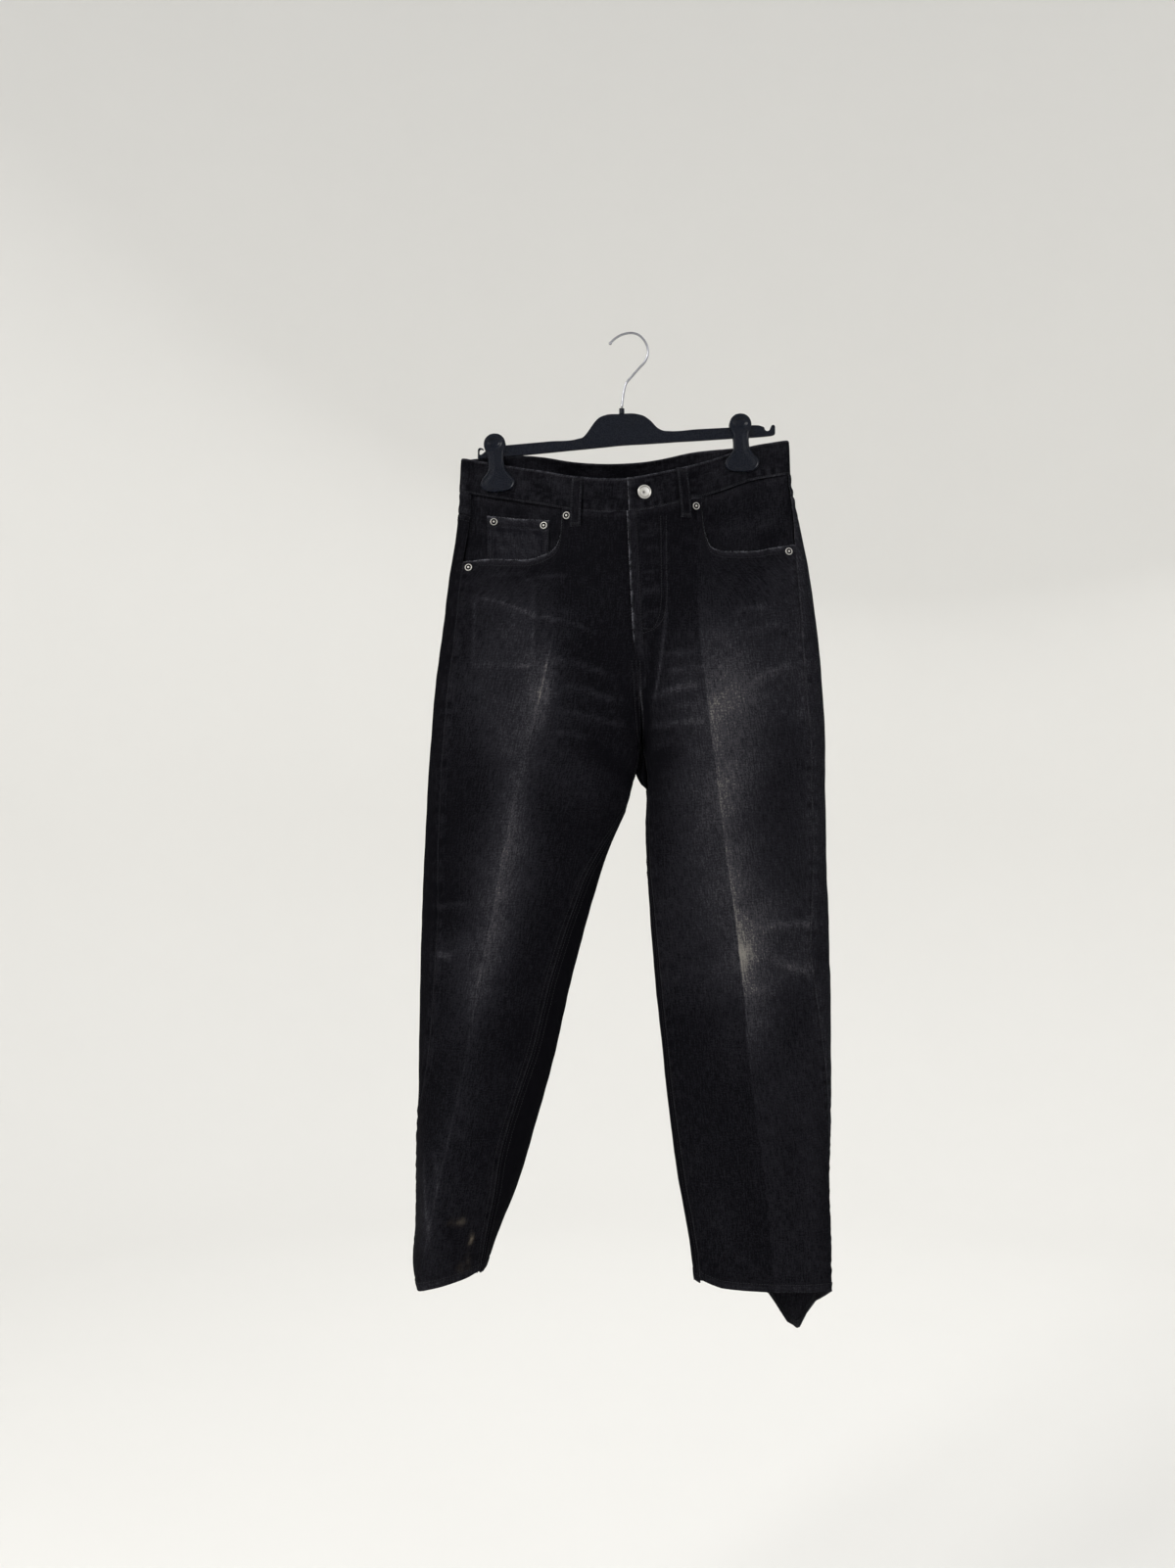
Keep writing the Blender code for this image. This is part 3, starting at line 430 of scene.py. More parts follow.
# Belt loops: across at the top, lean to the foot, and 1 in front or -1 behind.
BELT_LOOPS = (
    (-65.5, -3.0, 1), (60.0, 6.0, 1), (92.0, 7.0, -1), (-4.0, 2.0, -1), (-122.0, -4.0, -1),
)
LOOP_WIDTH = 13.0
LOOP_LENGTH = 60.0
LOOP_BOW = 2.0

# Rivets: across, drop, and how deep the layer lies that each one goes through.
RIVETS = (
    (-79.2, 225.5, 0.0),
    (-168.5, 230.5, COIN_DEPTH),
    (-107.5, 236.0, COIN_DEPTH),
    (-198.5, 288.0, 0.0),
    (78.0, 212.5, 0.0),
    (190.5, 268.5, 0.0),
)
BUTTON_PLACE = (14.0, 199.0)
HEAD_HEIGHT = 0.75

# Turned profiles: radius, height and how dark each ring is painted, as shade in its recess.
RIVET_PROFILE = (
    (0, -0.6, 0), (4.3, -0.6, 0), (4.5, 0, 0), (4.45, 0.6, 0), (4.2, 1.1, 0), (3.85, 1.25, 0),
    (3.5, 1.15, 0.1), (3.3, 0.8, 0.9), (3.1, 0.3, 1), (2.4, 0.1, 1), (1.8, 0.1, 1), (1.55, 0.5, 1),
    (1.4, 1.1, 0.3), (1.1, 1.5, 0), (0.6, 1.68, 0), (0, 1.7, 0),
)
BUTTON_PROFILE = (
    (0, -0.6, 0), (3.6, -0.6, 0), (3.6, 1.5, 0.5), (7.9, 1.6, 0), (8.4, 2.0, 0), (8.55, 2.7, 0),
    (8.35, 3.4, 0), (7.8, 3.85, 0), (7.3, 3.85, 0), (6.95, 3.6, 0.15), (6.7, 3.35, 0.55),
    (6.4, 3.3, 0.55), (6.1, 3.5, 0.1), (5.6, 3.75, 0), (4.6, 3.95, 0), (3.6, 4.05, 0), (2.8, 4.1, 0),
    (2.1, 4.15, 0), (1.4, 4.2, 0), (0.7, 4.2, 0), (0, 4.2, 0),
)
# A small dent in the button's face: its place on the face, its reach and its depth. The dent is also darkened
# with painted shade.
BUTTON_DENT = (1.4, 0.8, 1.5, 0.9)

# The hook's wire, from its open tip to the collar, as (across, drop).
HOOK_ROUTE = (
    (-27.6, 13.0), (-22, 6.8), (-16, 2.6), (-8.5, -0.4), (0, -1.5), (7.6, 0.4), (15.4, 7.5),
    (19.3, 15.5), (20, 24), (16.7, 33), (7.6, 43.4), (-1.6, 54), (-6.7, 60.5), (-8.7, 67),
    (-10.9, 80), (-12, 90.6),
)
WIRE_RADIUS = 1.5
BALL_RADIUS = 2.1

# The moulded bar's top and bottom edges, with the hump in the middle.
BAR = table(
    "across top_drop bottom_drop",
    (-187, 139.2, 152.6), (-178, 138.4, 152.2), (-150, 136.0, 150.0), (-100, 131.5, 145.4),
    (-66, 128.4, 142.0), (-59, 126.0, 141.4), (-53, 118.8, 140.8), (-47, 110.0, 140.2),
    (-41, 103.4, 139.6), (-33, 99.6, 138.8), (-15, 98.0, 136.9), (8, 98.2, 135.4),
    (16, 100.8, 135.0), (24, 106.8, 134.5), (31, 114.2, 134.0), (38, 118.0, 133.6),
    (46, 118.8, 133.0), (80, 116.7, 131.0), (120, 114.6, 128.4), (162, 112.9, 125.8),
    (176, 117.5, 124.2),
)
BAR_HALF_THICKNESS = 2.7
# The thin hook at the bar's end on the wearer's right, from the bar's top round to its foot.
BAR_END_HOOK = (
    (-168, 137.9), (-174, 139.6), (-177.4, 141.6), (-179.2, 143.8), (-181.6, 146.0), (-184.2, 147.9),
    (-185.6, 147.9), (-186.2, 146.8), (-186.2, 143.6), (-185.6, 142.2), (-184.2, 141.6), (-182.6, 142.0),
    (-181.2, 142.6), (-180.9, 141.6), (-182.2, 140.4), (-184.2, 139.6), (-186.4, 139.6), (-187.9, 140.8),
    (-188.4, 142.6), (-188.4, 149.4), (-188.6, 151.8), (-187.4, 153.2), (-184.0, 153.1),
)

# The small hook at its other end: arcs of centre, radius, first and last angle, and points.
BAR_TIP_ARCS = (
    (173.2, 121.4, 2.6, -80, 0, 5), (173.2, 113.8, 2.6, 0, 170, 9), (166.2, 115.4, 3.4, -5, -175, 9),
    (160.5, 115.6, 2.2, 10, 80, 4),
)

# Clips: name, head's centre across and drop, and lean in degrees.
CLIPS = (("clip_right", -167.5, 135.9, 4.5), ("clip_left", 133.0, 111.4, 2.5))
CLIP_OUTLINE = table(
    "below half_width",
    (-13.4, 0.0), (-12.9, 3.4), (-11.4, 7), (-9, 10), (-4, 12.8), (1, 13.4), (6, 12.2), (10, 10.6),
    (16, 9.6), (24, 9.4), (31, 10.4), (37, 14.3), (42, 18.8), (47, 20.8), (52, 19.6), (55, 16.8),
    (57.3, 10), (58.4, 0.0),
)
CLIP_TOP = -13.4
CLIP_FOOT = 58.4
CLIP_INNER = 3.4
CLIP_OUTER = 6.8
CLIP_ROUND = 1.2


def smooth(rows, column, at):
    """A cubic curve through one column of a table, read at any places and level past its ends."""
    place, value = next(iter(rows.values())), rows[column]
    slope = np.gradient(value, place)
    at = np.clip(np.asarray(at, float), place[0], place[-1])
    low = np.clip(np.searchsorted(place, at, side="right") - 1, 0, len(place) - 2)
    span = place[low + 1] - place[low]
    t = (at - place[low]) / span
    level = (2 * t**3 - 3 * t**2 + 1) * value[low] + (3 * t**2 - 2 * t**3) * value[low + 1]
    return level + span * ((t**3 - 2 * t**2 + t) * slope[low] + (t**3 - t**2) * slope[low + 1])


def ease(x):
    """0 below 0, 1 above 1, and a smooth step between."""
    x = np.clip(x, 0.0, 1.0)
    return x * x * (3 - 2 * x)


def bell(x):
    """A soft bump: 1 at 0, falling to nothing by about 2."""
    return np.exp(-(x**2))


def bands(distance, *rows):
    """Soft bands beside an edge, added up: bells of (rise, distance of the middle, half width)."""
    return sum(rise * bell((distance - middle) / half_width) for rise, middle, half_width in rows)


def paired(*values):
    """Numbers or arrays brought to one shape."""
    return np.broadcast_arrays(*(np.asarray(value, float) for value in values))


def unit(vectors):
    """Vectors brought to a length of 1."""
    return vectors / np.maximum(np.linalg.norm(vectors, axis=-1, keepdims=True), 1e-9)


def run_along(path):
    """The arc length from a path's first point to each of its points."""
    return np.append(0, np.cumsum(np.linalg.norm(np.diff(path, axis=0), axis=-1)))


def read_at(at, run, values):
    """What a path has at each of its points, read at the given arc lengths."""
    return np.stack([np.interp(at, run, column) for column in values.T], axis=-1)


# One leg's tables. Its turn is 1 where places on the front grow towards +X, else -1, and its
# seeds are those of the waves along its two seams.
Leg = namedtuple("Leg", "number side rows hem scoop glow clip_x turn outer_seed inner_seed")
RIGHT = Leg(1, "right", RIGHT_LEG, RIGHT_HEM, RIGHT_SCOOP, RIGHT_GLOW, -163.0, 1, 31, 51)
LEFT = Leg(2, "left", LEFT_LEG, LEFT_HEM, LEFT_SCOOP, LEFT_GLOW, 135.0, -1, 32, 52)


# ---------------------------------------------------------------- the cloth's form


def centre_depth(front, drop):
    """Half the hips' depth at the centre seam: a quarter ellipse that closes at the crotch."""
    fall = np.where(front, FRONT_FALL_DROP, BACK_FALL_DROP)
    full = np.where(front, FRONT_CENTRE_DEPTH, BACK_CENTRE_DEPTH)
    share = np.clip((drop - fall) / (CROTCH_DROP - fall), 0.0, 1.0)
    return full * np.sqrt(1 - share**2)


def waist_top(front, across):
    """The drop of the waistband's top edge, in front or behind."""
    in_front = smooth(WAIST_TOP, "front_drop", across)
    return np.where(front, in_front, smooth(WAIST_TOP, "back_drop", across))


def waist_depth(leg, outer_x, across):
    """Half the waist's depth: a quarter circle at the side, flat under the clip, full between."""
    edge = np.abs(across - outer_x)
    loop_width = np.abs(outer_x - leg.clip_x) - CLIP_FLAT_HALF_WIDTH
    circle = SIDE_ROUND * np.sqrt(1 - (1 - np.clip(edge / SIDE_ROUND, 0, 1)) ** 2)
    pinch = (SIDE_ROUND - CLIPPED_DEPTH) * ease((edge - SIDE_ROUND) / (loop_width - SIDE_ROUND))
    start = RIGHT.clip_x + CLIP_FLAT_HALF_WIDTH
    end = LEFT.clip_x - CLIP_FLAT_HALF_WIDTH
    share = np.clip((across - start) / (end - start), 0, 1)
    return circle - pinch + WAIST_BULGE * np.sin(math.pi * share) ** WAIST_SWELL


def wrapped(w, drop):
    """Below the crotch a place past the inner side comes round to the other face."""
    in_leg = drop >= CROTCH_DROP
    return np.where(in_leg & (w < -1), w + 2, np.where(in_leg & (w > 1), w - 2, w))


def section(leg, w, drop):
    """A point on the cloth's outer face, before its folds.

    The place w runs once round the leg: 0 at the outer side, 0.5 at the front crease, 1 at
    the inner side or the centre front, and -0.5 and -1 likewise behind. Each quarter is a
    quarter ellipse drawn partly towards its chord, which leaves the pressed creases.
    """
    w, drop = paired(w, drop)
    in_leg = drop >= CROTCH_DROP
    w = wrapped(w, drop)
    front = w >= 0
    t = np.abs(w)
    outer_x = smooth(leg.rows, "outer_x", drop)
    mid_x, mid_y = (
        np.where(front, smooth(leg.rows, "front" + way, drop), smooth(leg.rows, "back" + way, drop))
        for way in ("_x", "_y")
    )
    centre_x = smooth(CENTRE, "across", drop)
    end_x = np.where(in_leg, smooth(leg.rows, "inner_x", drop), centre_x)
    depth = centre_depth(front, drop)
    end_y = np.where(in_leg, smooth(leg.rows, "inner_y", drop), np.where(front, -depth, depth))
    level = depth / np.where(front, FRONT_CENTRE_DEPTH, BACK_CENTRE_DEPTH)
    pull = CREASE_SHARPNESS * ease((drop - CREASE_START_DROP) / HIP_REACH)

    outer_run = 2 * np.minimum(t, 0.5)
    outer_turn = outer_run * math.pi / 2
    outer_share = (1 - pull) * (1 - np.cos(outer_turn)) + pull * outer_run**2
    outer_rise = (1 - pull) * np.sin(outer_turn) + pull * outer_run
    inner_run = 2 * np.maximum(t, 0.5) - 1
    inner_turn = inner_run * math.pi / 2
    inner_share = (1 - pull) * np.sin(inner_turn) + pull * (1 - (1 - inner_run) ** 2)
    inner_share = (1 - level) * inner_share + level * inner_run
    inner_fall = (1 - pull) * (1 - np.cos(inner_turn)) + pull * inner_run
    outer_x_at = outer_x + (mid_x - outer_x) * outer_share
    x = np.where(t < 0.5, outer_x_at, mid_x + (end_x - mid_x) * inner_share)
    y = np.where(t < 0.5, mid_y * outer_rise, mid_y + (end_y - mid_y) * inner_fall)

    hip_share = ease((drop - waist_top(front, x) - BAND_HEIGHT) / HIP_REACH)
    flat_y = np.where(front, -1, 1) * waist_depth(leg, outer_x, x)
    y = np.where(in_leg, y, (1 - hip_share) * flat_y + hip_share * y)
    return np.stack([x, y, -drop], axis=-1)


def ridges(rows, front, x, drop):
    """Ridges and troughs: for each row of a table, a long bell along it and a short one across."""
    height = np.zeros(np.shape(x))
    for face, across, at_drop, reach, half_width, angle, rise in zip(*rows.values()):
        turn = math.radians(angle)
        dx, dz = x - across, drop - at_drop
        along = dx * math.cos(turn) + dz * math.sin(turn)
        over = dz * math.cos(turn) - dx * math.sin(turn)
        height += np.where(front == (face > 0), rise * bell(along / reach) * bell(over / half_width), 0)
    return height


def cloth(leg, w, drop, inward=0.0):
    """A point of the cloth: the section with its folds, moved inward along the face's normal."""
    step_w, step_drop = 0.004, 1.0
    w, drop = paired(w, drop)
    w = wrapped(w, drop)
    front = w >= 0
    base = section(leg, w, drop)
    low_w = np.where(front, np.maximum(w - step_w, 0), w - step_w)
    high_w = np.where(front, w + step_w, np.minimum(w + step_w, -1e-6))
    across = section(leg, high_w, drop) - section(leg, low_w, drop)
    down = section(leg, w, drop + step_drop) - section(leg, w, drop - step_drop)
    normal = unit(np.cross(down, across) * leg.turn)
    lift = ridges(FOLDS, front, base[..., 0], drop) - np.asarray(inward)
    return base + normal * lift[..., None]


def place_of(leg, front, across, drop):
    """The place w of a point given by how far across it is, found by halving."""
    across, drop = paired(across, drop)
    sign = 1.0 if front else -1.0
    low, high = np.zeros(across.shape), np.ones(across.shape)
    for _ in range(26):
        middle = (low + high) / 2
        past = (section(leg, sign * middle, drop)[..., 0] - across) * leg.turn > 0
        low, high = np.where(past, low, middle), np.where(past, middle, high)
    return sign * (low + high) / 2


def hip_cloth(front, across, drop, inward):
    """A point of the cloth above the crotch, on whichever leg's side it lies."""
    across, drop = paired(across, drop)
    on_right = cloth(RIGHT, place_of(RIGHT, front, across, drop), drop, inward)
    on_left = cloth(LEFT, place_of(LEFT, front, across, drop), drop, inward)
    return np.where((across < smooth(CENTRE, "across", drop))[..., None], on_right, on_left)


def outseam(leg, drop):
    """The place of the outseam, which lies a little in front of the outer side."""
    shift = np.maximum(smooth(OUTSEAM, leg.side, drop), 0)
    return place_of(leg, True, smooth(leg.rows, "outer_x", drop) + leg.turn * shift, drop)


def inner_edge(leg, drop):
    """The place of the front panel's inner edge: the centre seam, then the inseam."""
    shift = np.maximum(smooth(INSEAM, leg.side, drop), 0)
    seam = place_of(leg, True, smooth(leg.rows, "inner_x", drop) - leg.turn * shift, drop)
    return np.where(drop < CROTCH_DROP, 1.0, seam)


def hem_drop(leg, w):
    """The drop of the hem at a place, straight between its rows."""
    return np.interp(np.where(w < -1, w + 2, w), leg.hem["place"], leg.hem["drop"])


def waist_seam(leg, w):
    """The drop of the waistband's lower edge at a place."""
    w = np.asarray(w, float)
    drop = np.full(w.shape, 200.0)
    for _ in range(3):
        drop = waist_top(w >= 0, section(leg, w, drop)[..., 0]) + BAND_HEIGHT
    return drop


def yoke_seam(leg, w):
    """The drop of the yoke's lower seam at a place."""
    return smooth(YOKE_SEAM, "drop", section(leg, w, YOKE_LEVEL)[..., 0])


def trace(route, shares):
    """Points at the given shares of a smooth route's length, as (across, drop)."""
    points = np.array(route, float)
    run = run_along(points)
    rows = {"run": run, "across": points[:, 0], "drop": points[:, 1]}
    at = np.asarray(shares) * run[-1]
    return smooth(rows, "across", at), smooth(rows, "drop", at)


# ---------------------------------------------------------------- grids


class Grid:
    """A piece of cloth as rows and columns of points, with what its finish needs at each."""

    def __init__(self, points, on_leg=False, middle=None):
        self.points = points
        self.on_leg = on_leg
        self.middle = points.shape[1] // 2 if middle is None else middle
        self.fade, self.edge, self.scuff = np.zeros((3, *points.shape[:2]))
        self.measure()

    def measure(self):
        """Arc lengths: along each row from its first column, and down each column from its top."""
        across = np.linalg.norm(np.diff(self.points, axis=1), axis=-1)
        down = np.linalg.norm(np.diff(self.points, axis=0), axis=-1)
        self.run = np.pad(np.cumsum(across, axis=1), ((0, 0), (1, 0)))
        self.fall = np.pad(np.cumsum(down, axis=0), ((1, 0), (0, 0)))

    def normals(self):
        """Outward normals: along a row crossed with up a column."""
        return unit(np.cross(np.gradient(self.points, axis=1), -np.gradient(self.points, axis=0)))

    def raise_by(self, height):
        """Moves every point along its normal."""
        self.points = self.points + self.normals() * np.asarray(height)[..., None]

    def edges(self):
        """Distances from the four edges: first column, last column, top row and bottom row."""
        return self.run, self.run[:, -1:] - self.run, self.fall, self.fall[-1:] - self.fall


def waves(x, y, length, seed):
    """An even, seamless wobble between about -1 and 1: seven sines of like length, each turned."""
    spin = np.random.default_rng(seed)
    total = np.zeros(np.broadcast(x, y).shape)
    for _ in range(7):
        angle, phase, scale = spin.uniform(0, 2 * math.pi), spin.uniform(0, 6.3), spin.uniform(0.7, 1.5)
        wave = 2 * math.pi / (length * scale)
        total += np.sin(wave * (x * math.cos(angle) + y * math.sin(angle)) + phase)
    return total / 3.6


def ragged(x, y, *layers):
    """Layers of waves, each as (rise, length, seed), brought to between 0 and 1 and cut off there."""
    total = sum(rise * waves(x, y, length, seed) for rise, length, seed in layers)
    return 0.5 + 0.5 * np.clip(total, -1, 1)


def rows_between(top, bottom, count):
    """Rows of drops from one edge to the other."""
    return top + (bottom - top) * np.linspace(0, 1, count)[:, None]


def panel_rows(top, bottom, top_count, bottom_count):
    """Rows of drops for a panel: fanned out to its edges above and below, level between."""
    high, low = np.full(top.shape, LEVEL_TOP), np.full(top.shape, LEVEL_BOTTOM)
    return np.vstack([
        rows_between(top, high, top_count)[:-1],
        rows_between(high, low, 190)[:-1],
        rows_between(low, bottom, bottom_count),
    ])


def crowded(count, turns, narrow=0.5):
    """Shares from 0 to 1 that crowd together at both ends and, with two turns, in the middle."""
    t = np.linspace(0, 1, count)
    wave = 2 * math.pi * turns
    return t - narrow * np.sin(wave * t) / wave


def outward(leg, points):
    """Puts a grid's columns in the order that faces it outwards."""
    return points if leg.turn > 0 else points[:, ::-1]


def front_grid(leg):
    """A front panel: from its scoop and the waist seam to the hem, outseam to inner edge."""
    u = crowded(121, 2)
    corner_x = leg.scoop[-1][0]
    half = (len(u) + 1) // 2
    seam_share = (u[half - 1:] - 0.5) * 2
    seam_x = corner_x + (smooth(CENTRE, "across", FLY_TOP) - corner_x) * seam_share
    seam_drop = waist_top(True, seam_x) + BAND_HEIGHT + BAND_GAP
    route = leg.scoop[:-1] + ((corner_x, float(seam_drop[0])),)
    scoop_x, scoop_drop = trace(route, u[:half] * 2)
    top_x = np.append(scoop_x, seam_x[1:])
    top = np.append(scoop_drop, seam_drop[1:])
    top_w = place_of(leg, True, top_x, top)
    drop = panel_rows(top[None, :], hem_drop(leg, u)[None, :], 44, 26)
    start, end = outseam(leg, drop), inner_edge(leg, drop)
    settled = np.where(u < 0.5, start + (0.5 - start) * 2 * u, 0.5 + (end - 0.5) * (2 * u - 1))
    share = ease((drop - top) / (SETTLED_DROP - top))
    w = np.clip((1 - share) * top_w + share * settled, start, end)
    w = np.where(u == 0, start, np.where(u == 1, end, w))
    return outward(leg, cloth(leg, w, drop)), outward(leg, w), outward(leg, drop)


def back_places(leg, drop):
    """Places across the back, from the inner edge over the back crease and the outer side.

    The share s runs to 1.2 at the crease, to 2.5 at the side and to 3 at the outseam.
    """
    inner = np.where(drop < CROTCH_DROP, -1.0, inner_edge(leg, drop) - 2)
    outer = outseam(leg, drop)
    side = np.minimum(0.0, outer - 0.012)
    s = 3 * crowded(131, 1)
    behind = np.where(s < 1.2, inner + (-0.5 - inner) * s / 1.2, -0.5 + (side + 0.5) * (s - 1.2) / 1.3)
    return np.where(s < 2.5, behind, side + (outer - side) * (s - 2.5) / 0.5)


def back_grid(leg):
    """A back panel: from the yoke seam to the hem, inner edge over the back to the outseam."""
    top = yoke_seam(leg, back_places(leg, np.full((1, 1), YOKE_LEVEL)))
    bottom = hem_drop(leg, back_places(leg, np.full((1, 1), HEM_LEVEL)))
    drop = panel_rows(top, bottom, 34, 40)
    w = back_places(leg, drop)
    return outward(leg, cloth(leg, w, drop)), outward(leg, w), outward(leg, drop)


def yoke_grid(leg):
    """A yoke: from the waist seam to its own seam."""
    w = back_places(leg, np.full((1, 1), YOKE_LEVEL))
    drop = rows_between(waist_seam(leg, w) + BAND_GAP, yoke_seam(leg, w), 20)
    w = back_places(leg, drop)
    return outward(leg, cloth(leg, w, drop)), outward(leg, w), outward(leg, drop)


# ---------------------------------------------------------------- fades and wear


def worn_lines(rows, x, drop):
    """Worn lines: each a bell across a bowed stroke, thinning out to both its ends."""
    total = np.zeros(x.shape)
    for start_x, start_drop, end_x, end_drop, bow, half_width, strength in zip(*rows.values()):
        length = math.hypot(end_x - start_x, end_drop - start_drop)
        ux, uz = (end_x - start_x) / length, (end_drop - start_drop) / length
        along = ((x - start_x) * ux + (drop - start_drop) * uz) / length
        over = (drop - start_drop) * ux - (x - start_x) * uz + bow * 4 * along * (1 - along)
        ends = ease(along * 5) * ease((1 - along) * 5)
        total += strength * bell(over / half_width) * ends
    return total


def front_fade_and_shade(leg, w, x, drop):
    """How faded a front panel is: soft bells beside the crease, the worn crease and the lines, with painted
    shade at the crotch from the rows below 0.
    """
    total = np.zeros(x.shape)
    outer_side = ease((0.5 - w) / 0.012 + 0.5)
    for number, side, across, at_drop, half_across, half_drop, lean, strength in zip(*FADES.values()):
        if number != leg.number:
            continue
        mask = {1: outer_side, -1: 1 - outer_side, 0: 1.0}[int(side)]
        off = x - across - lean * (drop - at_drop)
        total += strength * mask * bell(off / half_across) * bell((drop - at_drop) / half_drop)
    away = np.abs(x - section(leg, 0.5, drop)[..., 0])
    for side, mask in (("outer", outer_side), ("inner", 1 - outer_side)):
        spread = np.exp(-((away / smooth(leg.glow, side + "_reach", drop)) ** 1.5))
        total += mask * smooth(leg.glow, side, drop) * spread
    line = smooth(CREASE_WEAR, leg.side, drop) * (0.75 + 0.25 * waves(x, drop, 46, 5))
    total += line * bands(away, (0.70, 0, 1.15), (0.08, 0, 6.0))
    total += worn_lines(WORN_LINES, x, drop) * (0.95 + 0.5 * waves(x, drop, 13, 9)) + bag_imprint(x, drop)
    return total * (0.9 + 0.16 * waves(x, drop, 60, 3))


def back_fade(leg, x, drop):
    """The seat, the backs of the knees, the worn lines and a little down the back crease."""
    seat_x, knee_x = (-100, -158) if leg is RIGHT else (95, 140)
    seat, knee = bands(x, (0.32, seat_x, 64)), bands(x, (0.14, knee_x, 62))
    total = 0.05 + bands(drop, (seat, 355, 80), (knee, 780, 110))
    away = x - section(leg, -0.5, drop)[..., 0]
    down = 0.25 + bands(drop, (1, 480, 120), (0.8, 770, 140))
    total += down * bands(away, (0.16, 0, 2.0), (0.12, 0, 20)) + worn_lines(WORN_BEHIND, x, drop)
    return total * (0.9 + 0.3 * waves(x, drop, 60, 4))


def kicked_out(leg, x, drop):
    """How far the right leg's outer edge kicks out sideways just above its hem."""
    return bands(drop, KICK) * ease((-226 - x) / 26) * (leg is RIGHT)


def crotch_fold(leg, x, w, drop):
    """How far a fold of the left back panel hangs over to the right leg, just below the crotch."""
    if leg is RIGHT:
        return 0 * x
    own, other = smooth(LEFT_LEG, "inner_x", drop), smooth(RIGHT_LEG, "inner_x", drop) + 1.5
    reach = ease((drop - FOLD_START_DROP) / 8) * (1 - np.clip((drop - FOLD_EDGE_DROP) / FOLD_RETURN, 0, 1))
    near = np.abs(wrapped(w, drop))
    across = ease((near - 0.62) / 0.12) * (1 - ease((near - 0.93) / 0.06))
    return np.maximum(x - own - (other - own) * reach, 0) * across * ease(reach / 0.3)


def bag_imprint(x, drop):
    """The wear over the pocket bag's square end: even inside it, and gone just past its sides."""
    across = ease((x - BAG_OUTER_X) / 3) * ease((BAG_INNER_X - x) / 2)
    return 0.055 * across * ease((drop - BAG_TOP_DROP) / 60) * ease((BAG_BOTTOM_DROP - drop) / 2)


def scuffs(x, drop):
    """Small worn-through marks."""
    total = np.zeros(x.shape)
    for across, at_drop, half_across, half_drop, strength in zip(*SCUFFS.values()):
        total += strength * bell((x - across) / half_across) * bell((drop - at_drop) / half_drop)
    return total


def seam_relief(distance, along, seed, pucker=0.5, rise=0.7):
    """A seam's edge seen from one panel: a swell beside it, a groove at it and puckers along it."""
    ripple = pucker * waves(along, 0 * along, 11, seed)
    return bands(distance, (rise, 5.5, 4.2), (-0.4, 0, 1.1), (ripple, 5, 5.5))


def seam_wear(distance, along, seed, strength):
    """Wear beside a seam: a thin pale line on it, a dull swell, and dark dashes where puckers sink."""
    dashes = np.clip(waves(along, 0 * along, 12, seed), 0, 1)
    return strength * bands(distance, (0.9, 0, 1.1), (0.35 - 0.9 * dashes, 5, 3.2))


def hem_relief(bottom, x, drop):
    """A hem seen from outside: a swell that ropes along its fold, and the groove of its stitches."""
    rope = 0.48 + 0.32 * waves(x, drop, 24, 64)
    return bands(bottom, (rope, 6, 4), (-0.5, 12, 1.6))


# ---------------------------------------------------------------- meshes


def to_mesh(name, points, quads, triangles=None):
    """A mesh from arrays of points, in millimetres, and of faces."""
    mesh = bpy.data.meshes.new(name)
    corners = [quads.reshape(-1, 4)] if triangles is None else [quads.reshape(-1, 4), triangles]
    loops = np.concatenate([c.reshape(-1) for c in corners]).astype(np.int32)
    sizes = np.concatenate([np.full(len(c), c.shape[1]) for c in corners])
    starts = (np.cumsum(sizes) - sizes).astype(np.int32)
    mesh.vertices.add(len(points))
    mesh.vertices.foreach_set("co", (points * MM).astype(np.float32).ravel())
    mesh.loops.add(len(loops))
    mesh.loops.foreach_set("vertex_index", loops)
    mesh.polygons.add(len(starts))
    mesh.polygons.foreach_set("loop_start", starts)
    mesh.update(calc_edges=True)
    mesh.validate()
    mesh.shade_smooth()
    return mesh


def grid_quads(rows, columns, closed_columns=False, flip=False):
    """Faces of a grid, each from its lower left corner round to its upper left one."""
    index = np.arange(rows * columns).reshape(rows, columns)
    if closed_columns:
        index = np.hstack([index, index[:, :1]])
    quads = np.stack([index[1:, :-1], index[1:, 1:], index[:-1, 1:], index[:-1, :-1]], axis=-1)
    return quads[..., ::-1] if flip else quads


def set_values(mesh, title, values):
    """Gives every point of a mesh a value of its own."""
    attribute = mesh.attributes.new(title, "FLOAT", "POINT")
    attribute.data.foreach_set("value", values.astype(np.float32).ravel())


def mend(mesh, end_points=0):
    """Turns every face outwards, once the mesh is closed.

    A shell whose two ends are open, with so many points round each, gets one flat face at both.
    Any other mesh has its doubled points merged, at poles and joins.
    """
    form = bmesh.new()
    form.from_mesh(mesh)
    if end_points:
        form.verts.ensure_lookup_table()
        form.faces.new(form.verts[:end_points])
        form.faces.new(form.verts[-end_points:])
    else:
        bmesh.ops.remove_doubles(form, verts=form.verts, dist=1e-6)
    bmesh.ops.recalc_face_normals(form, faces=form.faces)
    form.to_mesh(mesh)
    form.free()
    mesh.shade_smooth()


def put_in_scene(name, data):
    """Makes an object of a mesh, a lamp or a camera."""
    thing = bpy.data.objects.new(name, data)
    bpy.context.scene.collection.objects.link(thing)
    return thing


def add_piece(name, mesh, material, replaces=()):
    """Puts a mesh in the scene as a piece that hangs with the rest."""
    piece = put_in_scene(name, mesh)
    mesh.materials.append(material)
    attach(piece, "root")
    if replaces:
        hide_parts(*replaces)
    return piece


# A stitch's rings of points: place along it, swell and lift above the cloth.
STITCH_RINGS = ((-0.46, 0.3, -0.25), (-0.28, 0.9, 0.1), (0.28, 0.9, 0.1), (0.46, 0.3, -0.25))


